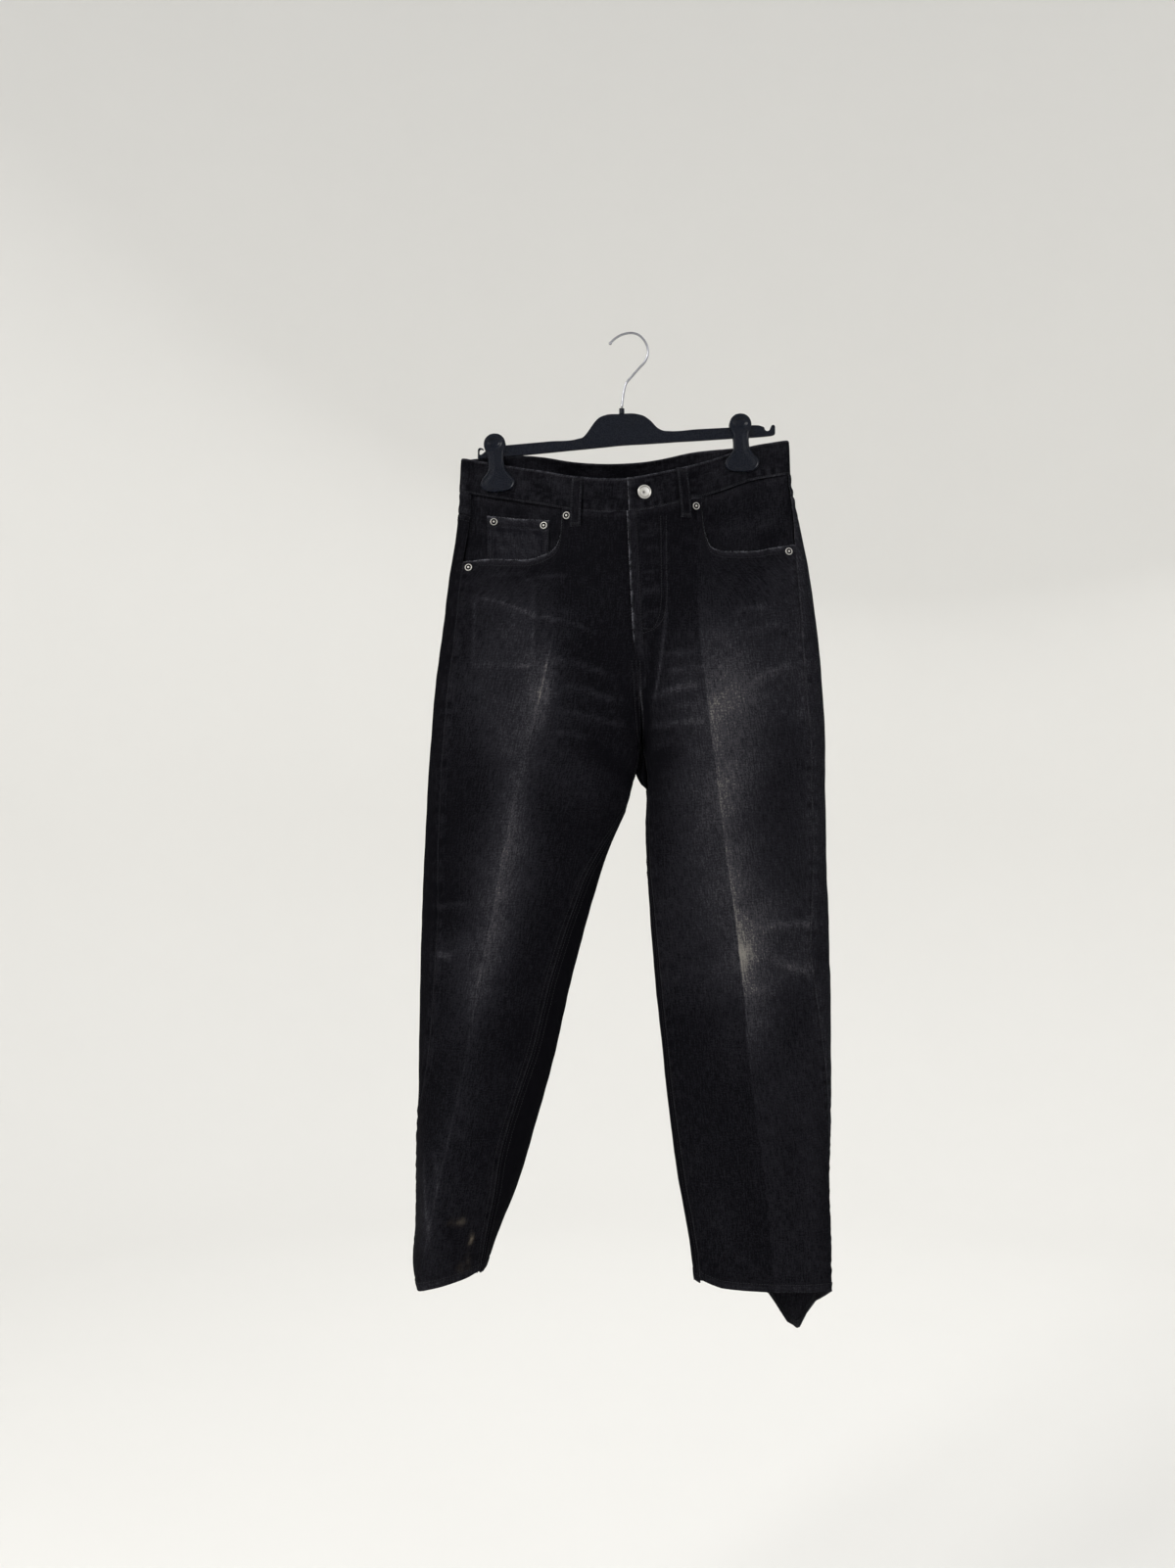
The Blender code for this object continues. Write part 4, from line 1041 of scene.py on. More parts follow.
def stitch_points(path, normals, radius=THREAD_RADIUS, length=STITCH, pitch=STITCH_PITCH):
    """Stitches along a path: spindles of four rings of five points, whose ends are sunk in."""
    run = run_along(path)
    at = np.arange(pitch / 2, run[-1], pitch)
    centre = read_at(at, run, path)
    travel = unit(read_at(at + 0.6, run, path) - read_at(at - 0.6, run, path))
    up = unit(read_at(at, run, normals))
    side = np.cross(travel, up)
    angle = np.arange(5)[:, None] * 2 * math.pi / 5
    ring = side[:, None] * np.cos(angle) + up[:, None] * np.sin(angle)
    rings = [
        (centre + travel * along * length + up * lift * radius)[:, None] + ring * radius * swell
        for along, swell, lift in STITCH_RINGS
    ]
    return np.stack(rings, axis=1)


def add_stitching(name, paths, slot="denim", **sizes):
    """Every row of stitches of one group of seams, as one mesh."""
    points = np.concatenate([stitch_points(*path, **sizes) for path in paths]).reshape(-1, 3)
    quads = grid_quads(4, 5, True, flip=True).reshape(-1, 4)
    caps = np.array([[0, 4, 3], [0, 3, 2], [0, 2, 1], [15, 16, 17], [15, 17, 18], [15, 18, 19]])
    shift = np.arange(0, len(points), 20)[:, None, None]
    mesh = to_mesh(name, points, (quads + shift).reshape(-1, 4), (caps + shift).reshape(-1, 3))
    return add_piece(name, mesh, THREAD)


def inset_path(grid, edge, distance, start=0.0, end=1.0):
    """A path on a grid at a distance from one of its edges, with the normals under it."""
    points, normals, run = grid.points, grid.normals(), grid.run
    if edge in ("top", "bottom"):
        points, normals, run = (np.swapaxes(a, 0, 1) for a in (points, normals, grid.fall))
    if edge in ("right", "bottom"):
        points, normals = points[:, ::-1], normals[:, ::-1]
        run = (run[:, -1:] - run)[:, ::-1]
    high = np.clip((run < distance).sum(axis=1), 1, run.shape[1] - 1)
    line = np.arange(len(run))
    low_run, high_run = run[line, high - 1], run[line, high]
    t = ((distance - low_run) / np.maximum(high_run - low_run, 1e-9))[:, None]
    path = points[line, high - 1] * (1 - t) + points[line, high] * t
    normal = normals[line, high - 1] * (1 - t) + normals[line, high] * t
    first, last = int(start * (len(path) - 1)), int(end * (len(path) - 1)) + 1
    return path[first:last], normal[first:last]


def add_fray(name, grid, edge, count, length, start=0.0, end=1.0):
    """A frayed edge: thin needles of thread, each a three-sided spike that leans its own way."""
    path, normals = inset_path(grid, edge, 0.0, start, end)
    outwards = path - inset_path(grid, edge, 3.0, start, end)[0]
    run = run_along(path)
    at = np.sort(RNG.uniform(0, run[-1], count))
    clump = 0.5 + 0.5 * waves(at, 0 * at, 22, len(name))
    at = at[RNG.uniform(0, 1, count) < 0.25 + 0.9 * clump]
    foot, out, up = (read_at(at, run, values) for values in (path, outwards, normals))
    out = unit(out)
    along = unit(np.cross(out, up))
    sway = RNG.normal(0, 0.8, (len(at), 1))
    stand = RNG.uniform(-0.1, 0.7, (len(at), 1))
    direction = unit(out * RNG.uniform(0.2, 1, (len(at), 1)) + along * sway + up * stand)
    reach = RNG.uniform(0.35, 1, (len(at), 1)) * length
    base = foot - out * 0.5 + up * 0.1
    thick = 0.16
    corners = [base + along * thick, base + up * thick, base - along * thick, base + direction * reach]
    points = np.stack(corners, axis=1).reshape(-1, 3)
    shape = np.array([[0, 1, 3], [1, 2, 3], [2, 0, 3], [0, 2, 1]])
    faces = (shape + 4 * np.arange(len(at))[:, None, None]).reshape(-1, 3)
    mesh = to_mesh(name, points, np.zeros((0, 4), int), faces)
    return add_piece(name, mesh, LOOSE_COTTON)


def lathe(name, profile, foot, normal, material, replaces, segments, dent=None):
    """A turned piece: a profile of (radius, height, painted shade) carried round the normal at its foot."""
    axis = unit(normal)
    side = unit(np.cross(axis, (0.0, 0.0, 1.0)))
    other = np.cross(axis, side)
    radius, height, recess_shade = np.array(profile, float).T[..., None]
    angle = np.arange(segments) * 2 * math.pi / segments
    x, y = radius * np.cos(angle), radius * np.sin(angle)
    z, shade = height + 0 * x, recess_shade + 0 * x
    if dent:
        place_x, place_y, reach, depth = dent
        hollow = bell(np.hypot(x - place_x, y - place_y) / reach) * (height > 1)
        # The dent is sunk, and darkened as painted shade.
        z, shade = z - depth * hollow, np.maximum(shade, 0.9 * hollow)
    points = foot + x[..., None] * side + y[..., None] * other + z[..., None] * axis
    mesh = to_mesh(name, points.reshape(-1, 3), grid_quads(len(radius), segments, True))
    set_values(mesh, "recess_shade", shade)
    mend(mesh)
    return add_piece(name, mesh, material, replaces)


# ---------------------------------------------------------------- materials


def hex_colour(code):
    """An sRGB hex colour as a linear one."""
    value = np.array([int(code[i:i + 2], 16) for i in (1, 3, 5)]) / 255
    linear = np.where(value <= 0.04045, value / 12.92, ((value + 0.055) / 1.055) ** 2.4)
    return (*(float(v) for v in linear), 1.0)


def add_node(tree, kind, inputs=None, **settings):
    """Adds a node with its settings. Each input takes a value, or an output socket to link."""
    node = tree.nodes.new(kind)
    for key, value in settings.items():
        setattr(node, key, value)
    for key, value in (inputs or {}).items():
        if isinstance(value, bpy.types.NodeSocket):
            tree.links.new(value, node.inputs[key])
        else:
            node.inputs[key].default_value = value
    return node


def blank_material(name, roughness, **inputs):
    """A material with its shader and nothing else set, and the two as a pair."""
    made = bpy.data.materials.new(name)
    made.use_nodes = True
    shader = made.node_tree.nodes["Principled BSDF"]
    shader.inputs["Roughness"].default_value = roughness
    for key, value in inputs.items():
        shader.inputs[key.replace("_", " ")].default_value = value
    return made, shader


# The yarns' noises: how wide and how long each is on the cut, in metres, and its detail.
YARNS = {
    "warp": (0.0019, 0.013, 2.0),
    "weft": (0.008, 0.0017, 2.0),
    "mottle": (0.007, 0.011, 4.0),
    "grain": (0.0017, 0.0021, 1.0),
}

# What the denim works out from its noises and its attributes, step by step: the result, the
# operation and up to three inputs, each a number or an earlier result.
DENIM_SUMS = (
    ("heather", "MULTIPLY", "warp", 0.38),
    ("heather", "MULTIPLY_ADD", "weft", 0.26, "heather"),
    ("heather", "MULTIPLY_ADD", "grain", 0.36, "heather"),
    ("swing", "MULTIPLY_ADD", "heather", 4.4, -2.2),
    ("cloud", "MULTIPLY_ADD", "mottle", 0.3, -0.15),
    # The slubs show most where the cloth is half faded, and less again where it is pale.
    ("growing", "MULTIPLY_ADD", "fade", 0.40, "least_slub"),
    ("growing", "MINIMUM", "growing", 0.36),
    ("paling", "MULTIPLY_ADD", "fade", 0.5, -0.3),
    ("paling", "MAXIMUM", "paling", 0.0),
    ("reach", "SUBTRACT", "growing", "paling"),
    ("reach", "MAXIMUM", "reach", 0.05),
    ("slubs", "MULTIPLY_ADD", "swing", "reach", 0.02),
    # How pale the cloth is in all.
    ("amount", "MULTIPLY_ADD", "fade", "cloud", "fade"),
    ("amount", "ADD", "amount", "slubs"),
    ("amount", "MULTIPLY_ADD", "cloud", 0.07, "amount"),
    # Worn edges and scuffs, both broken up as the cloth wears in patches.
    ("patchy", "SUBTRACT", "mottle", 0.40),
    ("patchy", "DIVIDE", "patchy", 0.22),
    ("patchy", "MINIMUM", "patchy", 1.0),
    ("patchy", "MAXIMUM", "patchy", 0.0),
    ("broken", "MULTIPLY_ADD", "patchy", 0.85, 0.15),
    ("broken", "MULTIPLY", "edge", "broken"),
    ("broken", "MULTIPLY_ADD", "broken", "swing", "broken"),
    ("spots", "MULTIPLY_ADD", "patchy", 0.8, 0.3),
    ("spots", "MULTIPLY", "scuff", "spots"),
)

# What shows at a worn edge, and in a scuff.
WORN_EDGE = "#5f5f66"
SCUFF_BEIGE = "#9c8f7c"


def denim(name, dark, mid, faded, bare, slub=1.0):
    """Overdyed cotton denim, 3/1 twill, washed and sanded.

    The eye sees a near-black face with grey-brown where the dye has been rubbed off, slubs both
    ways that show most where it is faded, and bare pale cotton along worn edges. The warp's real
    slubs are about 0.5 mm wide and the weft's 0.4 mm: they are drawn 1.9 mm and 1.7 mm wide, and
    the grain 2 mm, so that they show. The twill's 0.9 mm lines are left to the bump.
    """
    made, shader = blank_material(name, 0.88, Specular_IOR_Level=0.014)
    tree = made.node_tree
    cut = add_node(tree, "ShaderNodeUVMap", uv_map="cut").outputs["UV"]
    found = {"least_slub": 0.18 * slub}
    # The paleness attribute is mostly worn-off dye, with painted shade and light in a few places.
    for title in ("fade", "edge", "scuff"):
        found[title] = add_node(tree, "ShaderNodeAttribute", attribute_name=title).outputs["Fac"]
    for title, (width, length, detail) in YARNS.items():
        spread = add_node(tree, "ShaderNodeMapping", {"Vector": cut, "Scale": (1 / width, 1 / length, 1)})
        noise = {"Vector": spread.outputs["Vector"], "Scale": 1.0, "Detail": detail, "Roughness": 0.6}
        found[title] = add_node(tree, "ShaderNodeTexNoise", noise, noise_dimensions="2D").outputs["Fac"]
    for title, operation, *inputs in DENIM_SUMS:
        inputs = {index: found.get(value, value) for index, value in enumerate(inputs)}
        found[title] = add_node(tree, "ShaderNodeMath", inputs, operation=operation).outputs[0]

    ramp = add_node(tree, "ShaderNodeValToRGB", {"Fac": found["amount"]})
    stops = ramp.color_ramp.elements
    stops[0].position, stops[0].color = 0.0, hex_colour(dark)
    stops[1].position, stops[1].color = 1.0, hex_colour(bare)
    for place, colour in ((0.30, mid), (0.68, faded)):
        stops.new(place).color = hex_colour(colour)
    shown = ramp.outputs["Color"]
    for share, colour in (("broken", WORN_EDGE), ("spots", SCUFF_BEIGE)):
        mix = {"Factor": found[share], "A": shown, "B": hex_colour(colour)}
        shown = add_node(tree, "ShaderNodeMix", mix, data_type="RGBA").outputs["Result"]
    tree.links.new(shown, shader.inputs["Base Color"])

    twill = add_node(tree, "ShaderNodeMapping", {"Vector": cut, "Rotation": (0, 0, math.radians(63))})
    line = {"Vector": twill.outputs["Vector"], "Scale": 350.0, "Distortion": 1.2, "Detail": 1.0}
    lines = add_node(tree, "ShaderNodeTexWave", line).outputs["Fac"]
    height = {0: lines, 1: 0.3, 2: found["heather"]}
    height = add_node(tree, "ShaderNodeMath", height, operation="MULTIPLY_ADD").outputs[0]
    rough = {"Height": height, "Strength": 0.5, "Distance": 0.0006}
    tree.links.new(add_node(tree, "ShaderNodeBump", rough).outputs["Normal"], shader.inputs["Normal"])
    return made


def flecked(name, colour, other, grain, roughness, bump, recess_shade=None, **inputs):
    """A surface of one colour with a fine fleck towards another, rough at the same grain, in metres.

    Where a piece has the recess attribute, that part takes the recess colour, if one is given: painted shade
    in its hollows.
    """
    made, shader = blank_material(name, roughness, **inputs)
    tree = made.node_tree
    place = add_node(tree, "ShaderNodeTexCoord").outputs["Object"]
    noise = {"Vector": place, "Scale": 1 / grain, "Detail": 4.0, "Roughness": 0.6}
    fleck = add_node(tree, "ShaderNodeTexNoise", noise).outputs["Fac"]
    layers = [(fleck, other)]
    # Painted shade: the recess attribute darkens the hollows.
    if recess_shade:
        depth = add_node(tree, "ShaderNodeAttribute", attribute_name="recess_shade").outputs["Fac"]
        layers.append((depth, recess_shade))
    shown = hex_colour(colour)
    for share, towards in layers:
        mix = {"Factor": share, "A": shown, "B": hex_colour(towards)}
        shown = add_node(tree, "ShaderNodeMix", mix, data_type="RGBA").outputs["Result"]
    tree.links.new(shown, shader.inputs["Base Color"])
    span = {"Value": fleck, "From Min": 0.3, "From Max": 0.7,
            "To Min": roughness - 0.06, "To Max": roughness + 0.08}
    tree.links.new(add_node(tree, "ShaderNodeMapRange", span).outputs[0], shader.inputs["Roughness"])
    rough = {"Height": fleck, "Strength": bump, "Distance": grain * 0.3}
    tree.links.new(add_node(tree, "ShaderNodeBump", rough).outputs["Normal"], shader.inputs["Normal"])
    return made


# Ring-spun cotton twill, overdyed, stone-washed and sanded: a dull black face, its wrong side a
# shade paler, and a patch that has been sanded more than the rest.
BLACK_DENIM = denim("overdyed_black_denim", "#09090c", "#1e1e22", "#38373b", "#716e69")
INNER_DENIM = denim("denim_wrong_side", "#0f0f12", "#232326", "#3c3b3d", "#74706b", slub=1.4)
PATCH_DENIM = denim("sanded_patch_denim", "#0d0d11", "#232327", "#3d3c41", "#7b7873", slub=1.1)
# Corespun polyester thread, dyed to the cloth and waxed: a shade paler, with a slight sheen.
THREAD = flecked("charcoal_thread", "#111114", "#1d1d20", 0.004, 0.7, 0.1, Specular_IOR_Level=0.12)
# Bare cotton ends, rubbed off the folded edges: off-white gone grey.
LOOSE_COTTON = flecked("loose_cotton_ends", "#48484d", "#77777c", 0.003, 0.9, 0.1, Specular_IOR_Level=0.1)
# Polypropylene, moulded in a spark-eroded tool: a blue-black with a soft, slightly mottled shine.
MOULDED = flecked("moulded_polypropylene", "#080b13", "#0d111b", 0.0011, 0.27, 0.10, Specular_IOR_Level=0.15)
# Drawn steel wire, zinc-plated: pale, bright and slightly streaked.
ZINC_WIRE = flecked("zinc_plated_wire", "#85868b", "#a2a3a8", 0.0016, 0.30, 0.08, Metallic=1.0)
# Pressed brass, nickel-plated and tumbled: matt silver with a soft grain, and near-black painted shade in its
# recesses.
TUMBLED = flecked("tumbled_nickel", "#a3a19d", "#c9c7c2", 0.0009, 0.36, 0.25, "#0c0c0c", Metallic=1.0)


# ---------------------------------------------------------------- the panels


def relief(front, x, drop):
    """The cloth's small unevenness: the hand-laid creases, and a slow and a quick wobble."""
    slow = 0.5 * waves(x, drop * 0.6, 70, 21) + 0.2 * waves(x, drop * 0.7, 26, 22)
    return ridges(CREASES, front, x, drop) + slow * ease((drop - 215) / 60)


def worn_and_shaded_folds(front, x, drop):
    """Paler on a fold's ridge and darker in its trough, with the cloth's height: partly the ridge's wear,
    partly painted shading of the folds.
    """
    return 0.03 * ridges(FOLDS, front, x, drop) + 0.045 * relief(front, x, drop)


def lined_up(leg, left, right):
    """What belongs to a front's outer and inner edge, or to a back's inner and outer one."""
    return (left, right) if leg is RIGHT else (right, left)


def front_piece_grid(leg):
    """A finished front panel: folds, seams and the fly's lap raised, and its wear and painted shade in place.
    """
    points, w, drop = front_grid(leg)
    grid = Grid(points, True)
    x = points[..., 0]
    left, right, top, bottom = grid.edges()
    outer, inner = lined_up(leg, left, right)
    on_scoop = ease((0.5 - np.where(drop < 300, w, 1)) / 0.03 + 0.5) * ease((300 - drop) / 12)
    below_fly = ease((drop - FLY_DROP) / 16)
    height = relief(True, x, drop) + 0.7 * worn_lines(WORN_LINES, x, drop)
    height += seam_relief(outer, drop, leg.outer_seed) + hem_relief(bottom, x, drop)
    inseam = seam_relief(inner, drop, leg.inner_seed, pucker=0.35) + bands(inner, (-0.35, 10.5, 1.0))
    height += inseam * below_fly
    height += seam_relief(top, x, 61, pucker=0.35, rise=0.5) * ease((275 + points[:1, :, 2]) / 20)
    grid.fade = front_fade_and_shade(leg, w, x, drop) + worn_and_shaded_folds(True, x, drop)
    inseam = seam_wear(inner, drop, leg.inner_seed, 0.12) + bands(inner, (0.16, 0.8, 0.9), (0.05, 11.5, 1.0))
    grid.fade += inseam * below_fly
    grid.fade += seam_wear(outer, drop, leg.outer_seed, 0.24) + bands(outer, (0.04, 9, 1.0))
    grid.fade += bands(bottom, (0.12, 5, 4)) + bands(top, (0.10, 4, 3))
    broken = ragged(x, drop, (1.5, 8, 134), (0.9, 30, 135))
    strands = (0.4 + 0.6 * broken) * on_scoop
    grid.edge = bands(top, (strands, 0, 0.9 + 1.2 * broken)) + bands(bottom, (0.14, 0, 1.2))
    if leg is RIGHT:
        grid.scuff = scuffs(x, drop)
        grid.raise_by(height)
        grid.points[..., 0] += kicked_out(leg, x, drop)
        return grid
    on_fly = ease((FLY_DROP - drop) / 14)
    broken = ragged(drop, inner, (1.5, 7, 133), (0.8, 26, 136))
    strands = (0.2 + 0.8 * broken) * ease((FLY_DROP - 12 - drop) / 24)
    grid.edge += on_fly * bands(inner, (strands, 0, 0.8 + 1.3 * broken))
    grid.fade += on_fly * bands(inner, (0.12, 5, 5), (0.10, 8.6, 1.2), (0.06, 13.5, 1.4))
    ripple = 0.3 * waves(drop, 0 * drop, 13, 131)
    height += on_fly * (1.75 * (1 - ease(inner / 14)) + bands(inner, (-0.7, 11, 1.3), (ripple, 7, 4)))
    grid.raise_by(height)
    grid.points[..., 0] -= FLY_LAP * on_fly * (1 - ease(inner / 26))
    return grid


def back_piece_grid(leg):
    """A finished back panel, with the same seams met from its own side."""
    points, w, drop = back_grid(leg)
    grid = Grid(points, True, int(points.shape[1] * (0.4 if leg is RIGHT else 0.6)))
    x = points[..., 0]
    facing = wrapped(w, drop) >= 0
    left, right, top, bottom = grid.edges()
    inner, outer = lined_up(leg, left, right)
    height = relief(facing, x, drop) + hem_relief(bottom, x, drop)
    height += seam_relief(outer, drop, leg.outer_seed) + seam_relief(inner, drop, leg.inner_seed)
    height += seam_relief(top, x, 66, pucker=0.3, rise=0.6)
    # Where the back shows in front: painted shade at the inner side, below the crotch and in the seat's fold,
    # and at the right leg's outer side; a paler strip at the left leg's outer side.
    shown = np.where(outer < inner, -0.02 if leg is RIGHT else 0.20, -0.08)
    behind = back_fade(leg, x, drop) * ease(np.minimum(outer, inner) / 40)
    grid.fade = np.where(facing, shown, behind) + worn_and_shaded_folds(facing, x, drop)
    grid.fade += seam_wear(outer, drop, leg.outer_seed, 0.20) + seam_wear(inner, drop, leg.inner_seed, 0.10)
    grid.fade += bands(bottom, (0.10, 5, 4)) + bands(top, (0.12, 4, 3))
    # Painted light: paler towards the left back's hem, lifting the shaded inside of the leg where the hem's
    # corner turns up, which pales its outside too.
    grid.fade += 0.09 * ease((60 - bottom) / 50) * (leg is LEFT)
    grid.edge = bands(bottom, (0.5, 0, 1.6)) * (1 + 0.8 * waves(x, drop, 18, 71))
    grid.raise_by(height)
    grid.points[..., 0] += kicked_out(leg, x, drop) - crotch_fold(leg, x, w, drop)
    return grid


def yoke_piece_grid(leg):
    """A finished yoke."""
    points, _, drop = yoke_grid(leg)
    grid = Grid(points)
    x = points[..., 0]
    left, right, top, bottom = grid.edges()
    inner, outer = lined_up(leg, left, right)
    height = seam_relief(top, x, 67, pucker=0.35, rise=0.5) + seam_relief(bottom, x, 66, pucker=0.3, rise=0.6)
    height += seam_relief(outer, drop, leg.outer_seed, pucker=0.4) + seam_relief(inner, drop, leg.inner_seed)
    grid.fade = 0.05 + bands(bottom, (0.12, 4, 3.5)) + bands(top, (0.10, 4, 3))
    grid.fade += seam_wear(outer, drop, leg.outer_seed, 0.2)
    grid.raise_by(height)
    return grid


def band_piece_grid():
    """The waistband: from its lapping end at the fly, round the back, to its under end."""
    ahead, behind = np.linspace(1, 0, 150), np.linspace(0, -1, 110)
    under_x = np.linspace(2, BUTTON_PLACE[0] + LAP_WIDTH / 2, 12)
    runs = (
        (LEFT, ahead, False),
        (LEFT, behind[1:], False),
        (RIGHT, behind[::-1][1:], False),
        (RIGHT, ahead[::-1][1:], False),
        (LEFT, place_of(LEFT, True, under_x, 200.0), True),
    )
    below = np.linspace(0, BAND_HEIGHT, 25)[:, None]
    strips = []
    for leg, w, lapped in runs:
        drop = waist_seam(leg, w)[None, :] - BAND_HEIGHT + below
        w = w[None, :] + 0 * drop
        x = section(leg, w, drop)[..., 0]
        rise = (1.5 * bell((x + 148) / 30) + 2.0 * bell((x - 62) / 40)) * (w < 0)
        drop = drop - rise * (1 - below / BAND_HEIGHT)
        near = ease((x - smooth(CENTRE, "across", 200.0) + 26) / 22)
        under = near if leg is RIGHT and w[0, -1] > 0 else np.full(x.shape, float(lapped))
        strips.append(cloth(leg, w, drop, under * (BAND_WALL + 0.3)))
    grid = Grid(np.concatenate(strips, axis=1))
    run = grid.run
    left, _, top, bottom = grid.edges()
    ripple = bands(bottom, (waves(run, 0 * run, 9, 81), 6, 6))
    ripple += bands(top, (0.6 * waves(run, 0 * run, 13, 82), 5, 5))
    height = 0.8 + 0.3 * ripple + 0.25 * waves(run, top * 1.4, 38, 83) + bands(left, (-0.5, 2.4, 1.0))
    height += bands(top, (-0.35, 2.6, 1.1), (-0.6, 0, 1.0)) + bands(bottom, (-0.35, 2.6, 1.1), (-0.7, 0, 1.2))
    streaks = waves(run * 0.35, top * 1.6, 9, 86) * waves(run, top, 30, 87)
    lower = 0.22 * (1 + 0.4 * waves(run, 0 * run, 15, 88))
    grid.fade = 0.07 + 0.07 * waves(run, top * 1.2, 44, 84) + 0.10 * streaks
    grid.fade += bands(top, (0.26, 1, 1.2)) + bands(left, (0.14, 2.5, 3))
    grid.fade += bands(bottom, (0.10 * ripple, 7, 7), (lower, 1, 1.1))
    ends = 0.35 + 0.4 * np.clip(1.5 * waves(top, 0 * top, 9, 85), -0.6, 1)
    in_front = run < run[:, len(ahead):len(ahead) + 1]
    grid.edge = bands(top, (0.4, 0, 1.1)) + bands(left, (ends, 0, 1.2))
    grid.edge += bands(bottom, (0.2 * in_front, 0, 1))
    grid.raise_by(height)
    return grid


def fly_stand_grid():
    """The under-lap: behind both fronts, from the waist seam to the end of the fly.

    Its rim rolls down, with a slow wobble inside it and a little wear round its edge.
    """
    over = np.linspace(-8, LAP_WIDTH - 4, 25)
    seam = waist_top(True, smooth(CENTRE, "across", FLY_TOP) + over[None, :]) + BAND_HEIGHT + BAND_GAP
    drop = rows_between(seam, FLY_DROP - 10 * (over / LAP_WIDTH) ** 2, 70)
    across = smooth(CENTRE, "across", drop) + over + 0.01
    grid = Grid(hip_cloth(True, across, drop, LAP_DEPTH + 0.5))
    near = np.minimum.reduce(grid.edges())
    grid.fade = 0.03 + bands(near, (0.10, 1.4, 1.6))
    grid.raise_by(0.2 * waves(grid.run, grid.fall, 30, 90) + bands(near, (-0.35, 0, 1), (-0.25, 2.4, 1)))
    return grid


def facing_grid(leg, depth):
    """A pocket facing: from the waist seam to just below the scoop, tucked behind the front."""
    inner_x = leg.scoop[-1][0] + leg.turn * FACING_LAP
    bottom = max(drop for _, drop in leg.scoop) + FACING_LAP
    u = np.linspace(0, 1, 70)
    first, last = outseam(leg, np.full((1, 1), 250.0)), place_of(leg, True, inner_x, 250.0)
    drop = rows_between(waist_seam(leg, first + (last - first) * u) + BAND_GAP, bottom, 50)
    start = outseam(leg, drop)
    grid = Grid(outward(leg, cloth(leg, start + (last - start) * u, drop, depth)))
    x, drop = grid.points[..., 0], -grid.points[..., 2]
    left, right, top, _ = grid.edges()
    outer, _ = lined_up(leg, left, right)
    height = 0.35 * waves(x, drop, 34, 95) + 0.3 * seam_relief(top, x, 61, pucker=0.35, rise=0.5)
    height += 0.5 * seam_relief(outer, drop, leg.outer_seed)
    grid.fade = 0.05 + 0.05 * waves(x, drop, 40, 96) + bands(top, (0.06, 5, 4))
    grid.raise_by(height)
    return grid


def coin_pocket_grid():
    """The coin pocket: a patch on the right facing, from its top edge to below the scoop."""
    across = np.linspace(*COIN_POCKET["across"], 57)
    drop = rows_between(smooth(COIN_POCKET, "top_drop", across), COIN_BOTTOM_DROP, 49)
    grid = Grid(hip_cloth(True, across, drop, COIN_DEPTH))
    x = grid.points[..., 0]
    left, right, top, _ = grid.edges()
    side = np.minimum(left, right)
    height = 0.25 * waves(x, drop, 22, 97) + bands(top, (0.6, 4.5, 3), (-0.5, 10.5, 1.1))
    height += bands(side, (-0.3, 2, 0.9), (-0.3, 7.5, 0.9), (-0.6, 0, 1.0))
    grid.fade = 0.03 + 0.09 * ease((side - 8) / 9) * ease((top - 14) / 10) + 0.04 * waves(x, drop, 18, 98)
    grid.fade += bands(side, (0.07, 4.6, 1.6)) + bands(top, (0.10, 3, 4))
    strands = 0.75 * ragged(x, 0 * x, (1.5, 24, 121))
    grid.edge = bands(top, (strands, 0, 2.0), (0.12, 12.4, 0.9)) + bands(side, (0.05, 4.6, 0.8))
    grid.raise_by(height)
    return grid


def back_pocket_grid(across, below_seam):
    """A back pocket: straight sides that draw in a little, and a pointed lower edge."""
    u, v = np.linspace(-0.5, 0.5, 81), np.linspace(0, 1, 81)[:, None]
    x = across + u * (POCKET_WIDTH - POCKET_TAPER * v)
    top = smooth(YOKE_SEAM, "drop", across + u * POCKET_WIDTH) + below_seam
    drop = top + (POCKET_SIDE + POCKET_POINT * (1 - 2 * np.abs(u))) * v
    leg = RIGHT if across < 0 else LEFT
    points = cloth(leg, place_of(leg, False, x, drop), drop, -POCKET_WALL - 0.9)[:, ::-1]
    grid = Grid(points)
    x, drop = points[..., 0], -points[..., 2]
    left, right, top, bottom = grid.edges()
    near = np.minimum.reduce([left, right, bottom])
    height = relief(False, x, drop) + 0.4 * waves(x, drop, 36, 99) * ease(near / 12)
    height += bands(near, (-0.3, 2, 0.9), (-0.3, 8, 0.9), (-0.7, 0, 1.0)) + bands(top, (-0.3, 13, 1.0))
    grid.fade = 0.9 * back_fade(leg, x, drop) + bands(near, (0.14, 5, 2.4)) + bands(top, (0.18, 2, 3))
    grid.edge = bands(top, (0.5, 0, 1.6)) + bands(near, (0.2, 0, 1.2))
    grid.raise_by(height)
    return grid


def belt_loop_grid(across, lean, face):
    """A belt loop: a strap over the waistband, turned in at both ends and bowed out between them."""
    u, v = np.linspace(-0.5, 0.5, 15), crowded(61, 1, 0.7)[:, None]
    x = across + lean * v + u * LOOP_WIDTH
    drop = waist_top(face > 0, across + 0 * x) + 0.5 + LOOP_LENGTH * v
    ends = np.minimum(v, 1 - v) * LOOP_LENGTH
    lift = LOOP_WALL + 0.45 + LOOP_BOW * np.sin(math.pi * v) + bands(ends, (-1.3, 0, 0.9), (-0.3, 5.5, 1.2))
    lift = lift + bands(np.abs(u) * LOOP_WIDTH, (0.35, 4.4, 1.2))
    points = hip_cloth(face > 0, x, drop, -lift)
    grid = Grid(points if face > 0 else points[:, ::-1])
    left, right, top, bottom = grid.edges()
    side, end = np.minimum(left, right), np.minimum(top, bottom)
    grid.fade = 0.05 + 0.05 * waves(x, drop, 14, 101) + bands(side, (0.16, 1, 1.4)) + bands(end, (0.08, 3, 3))
    grid.edge = bands(end, (0.2, 0, 1.0))
    return grid


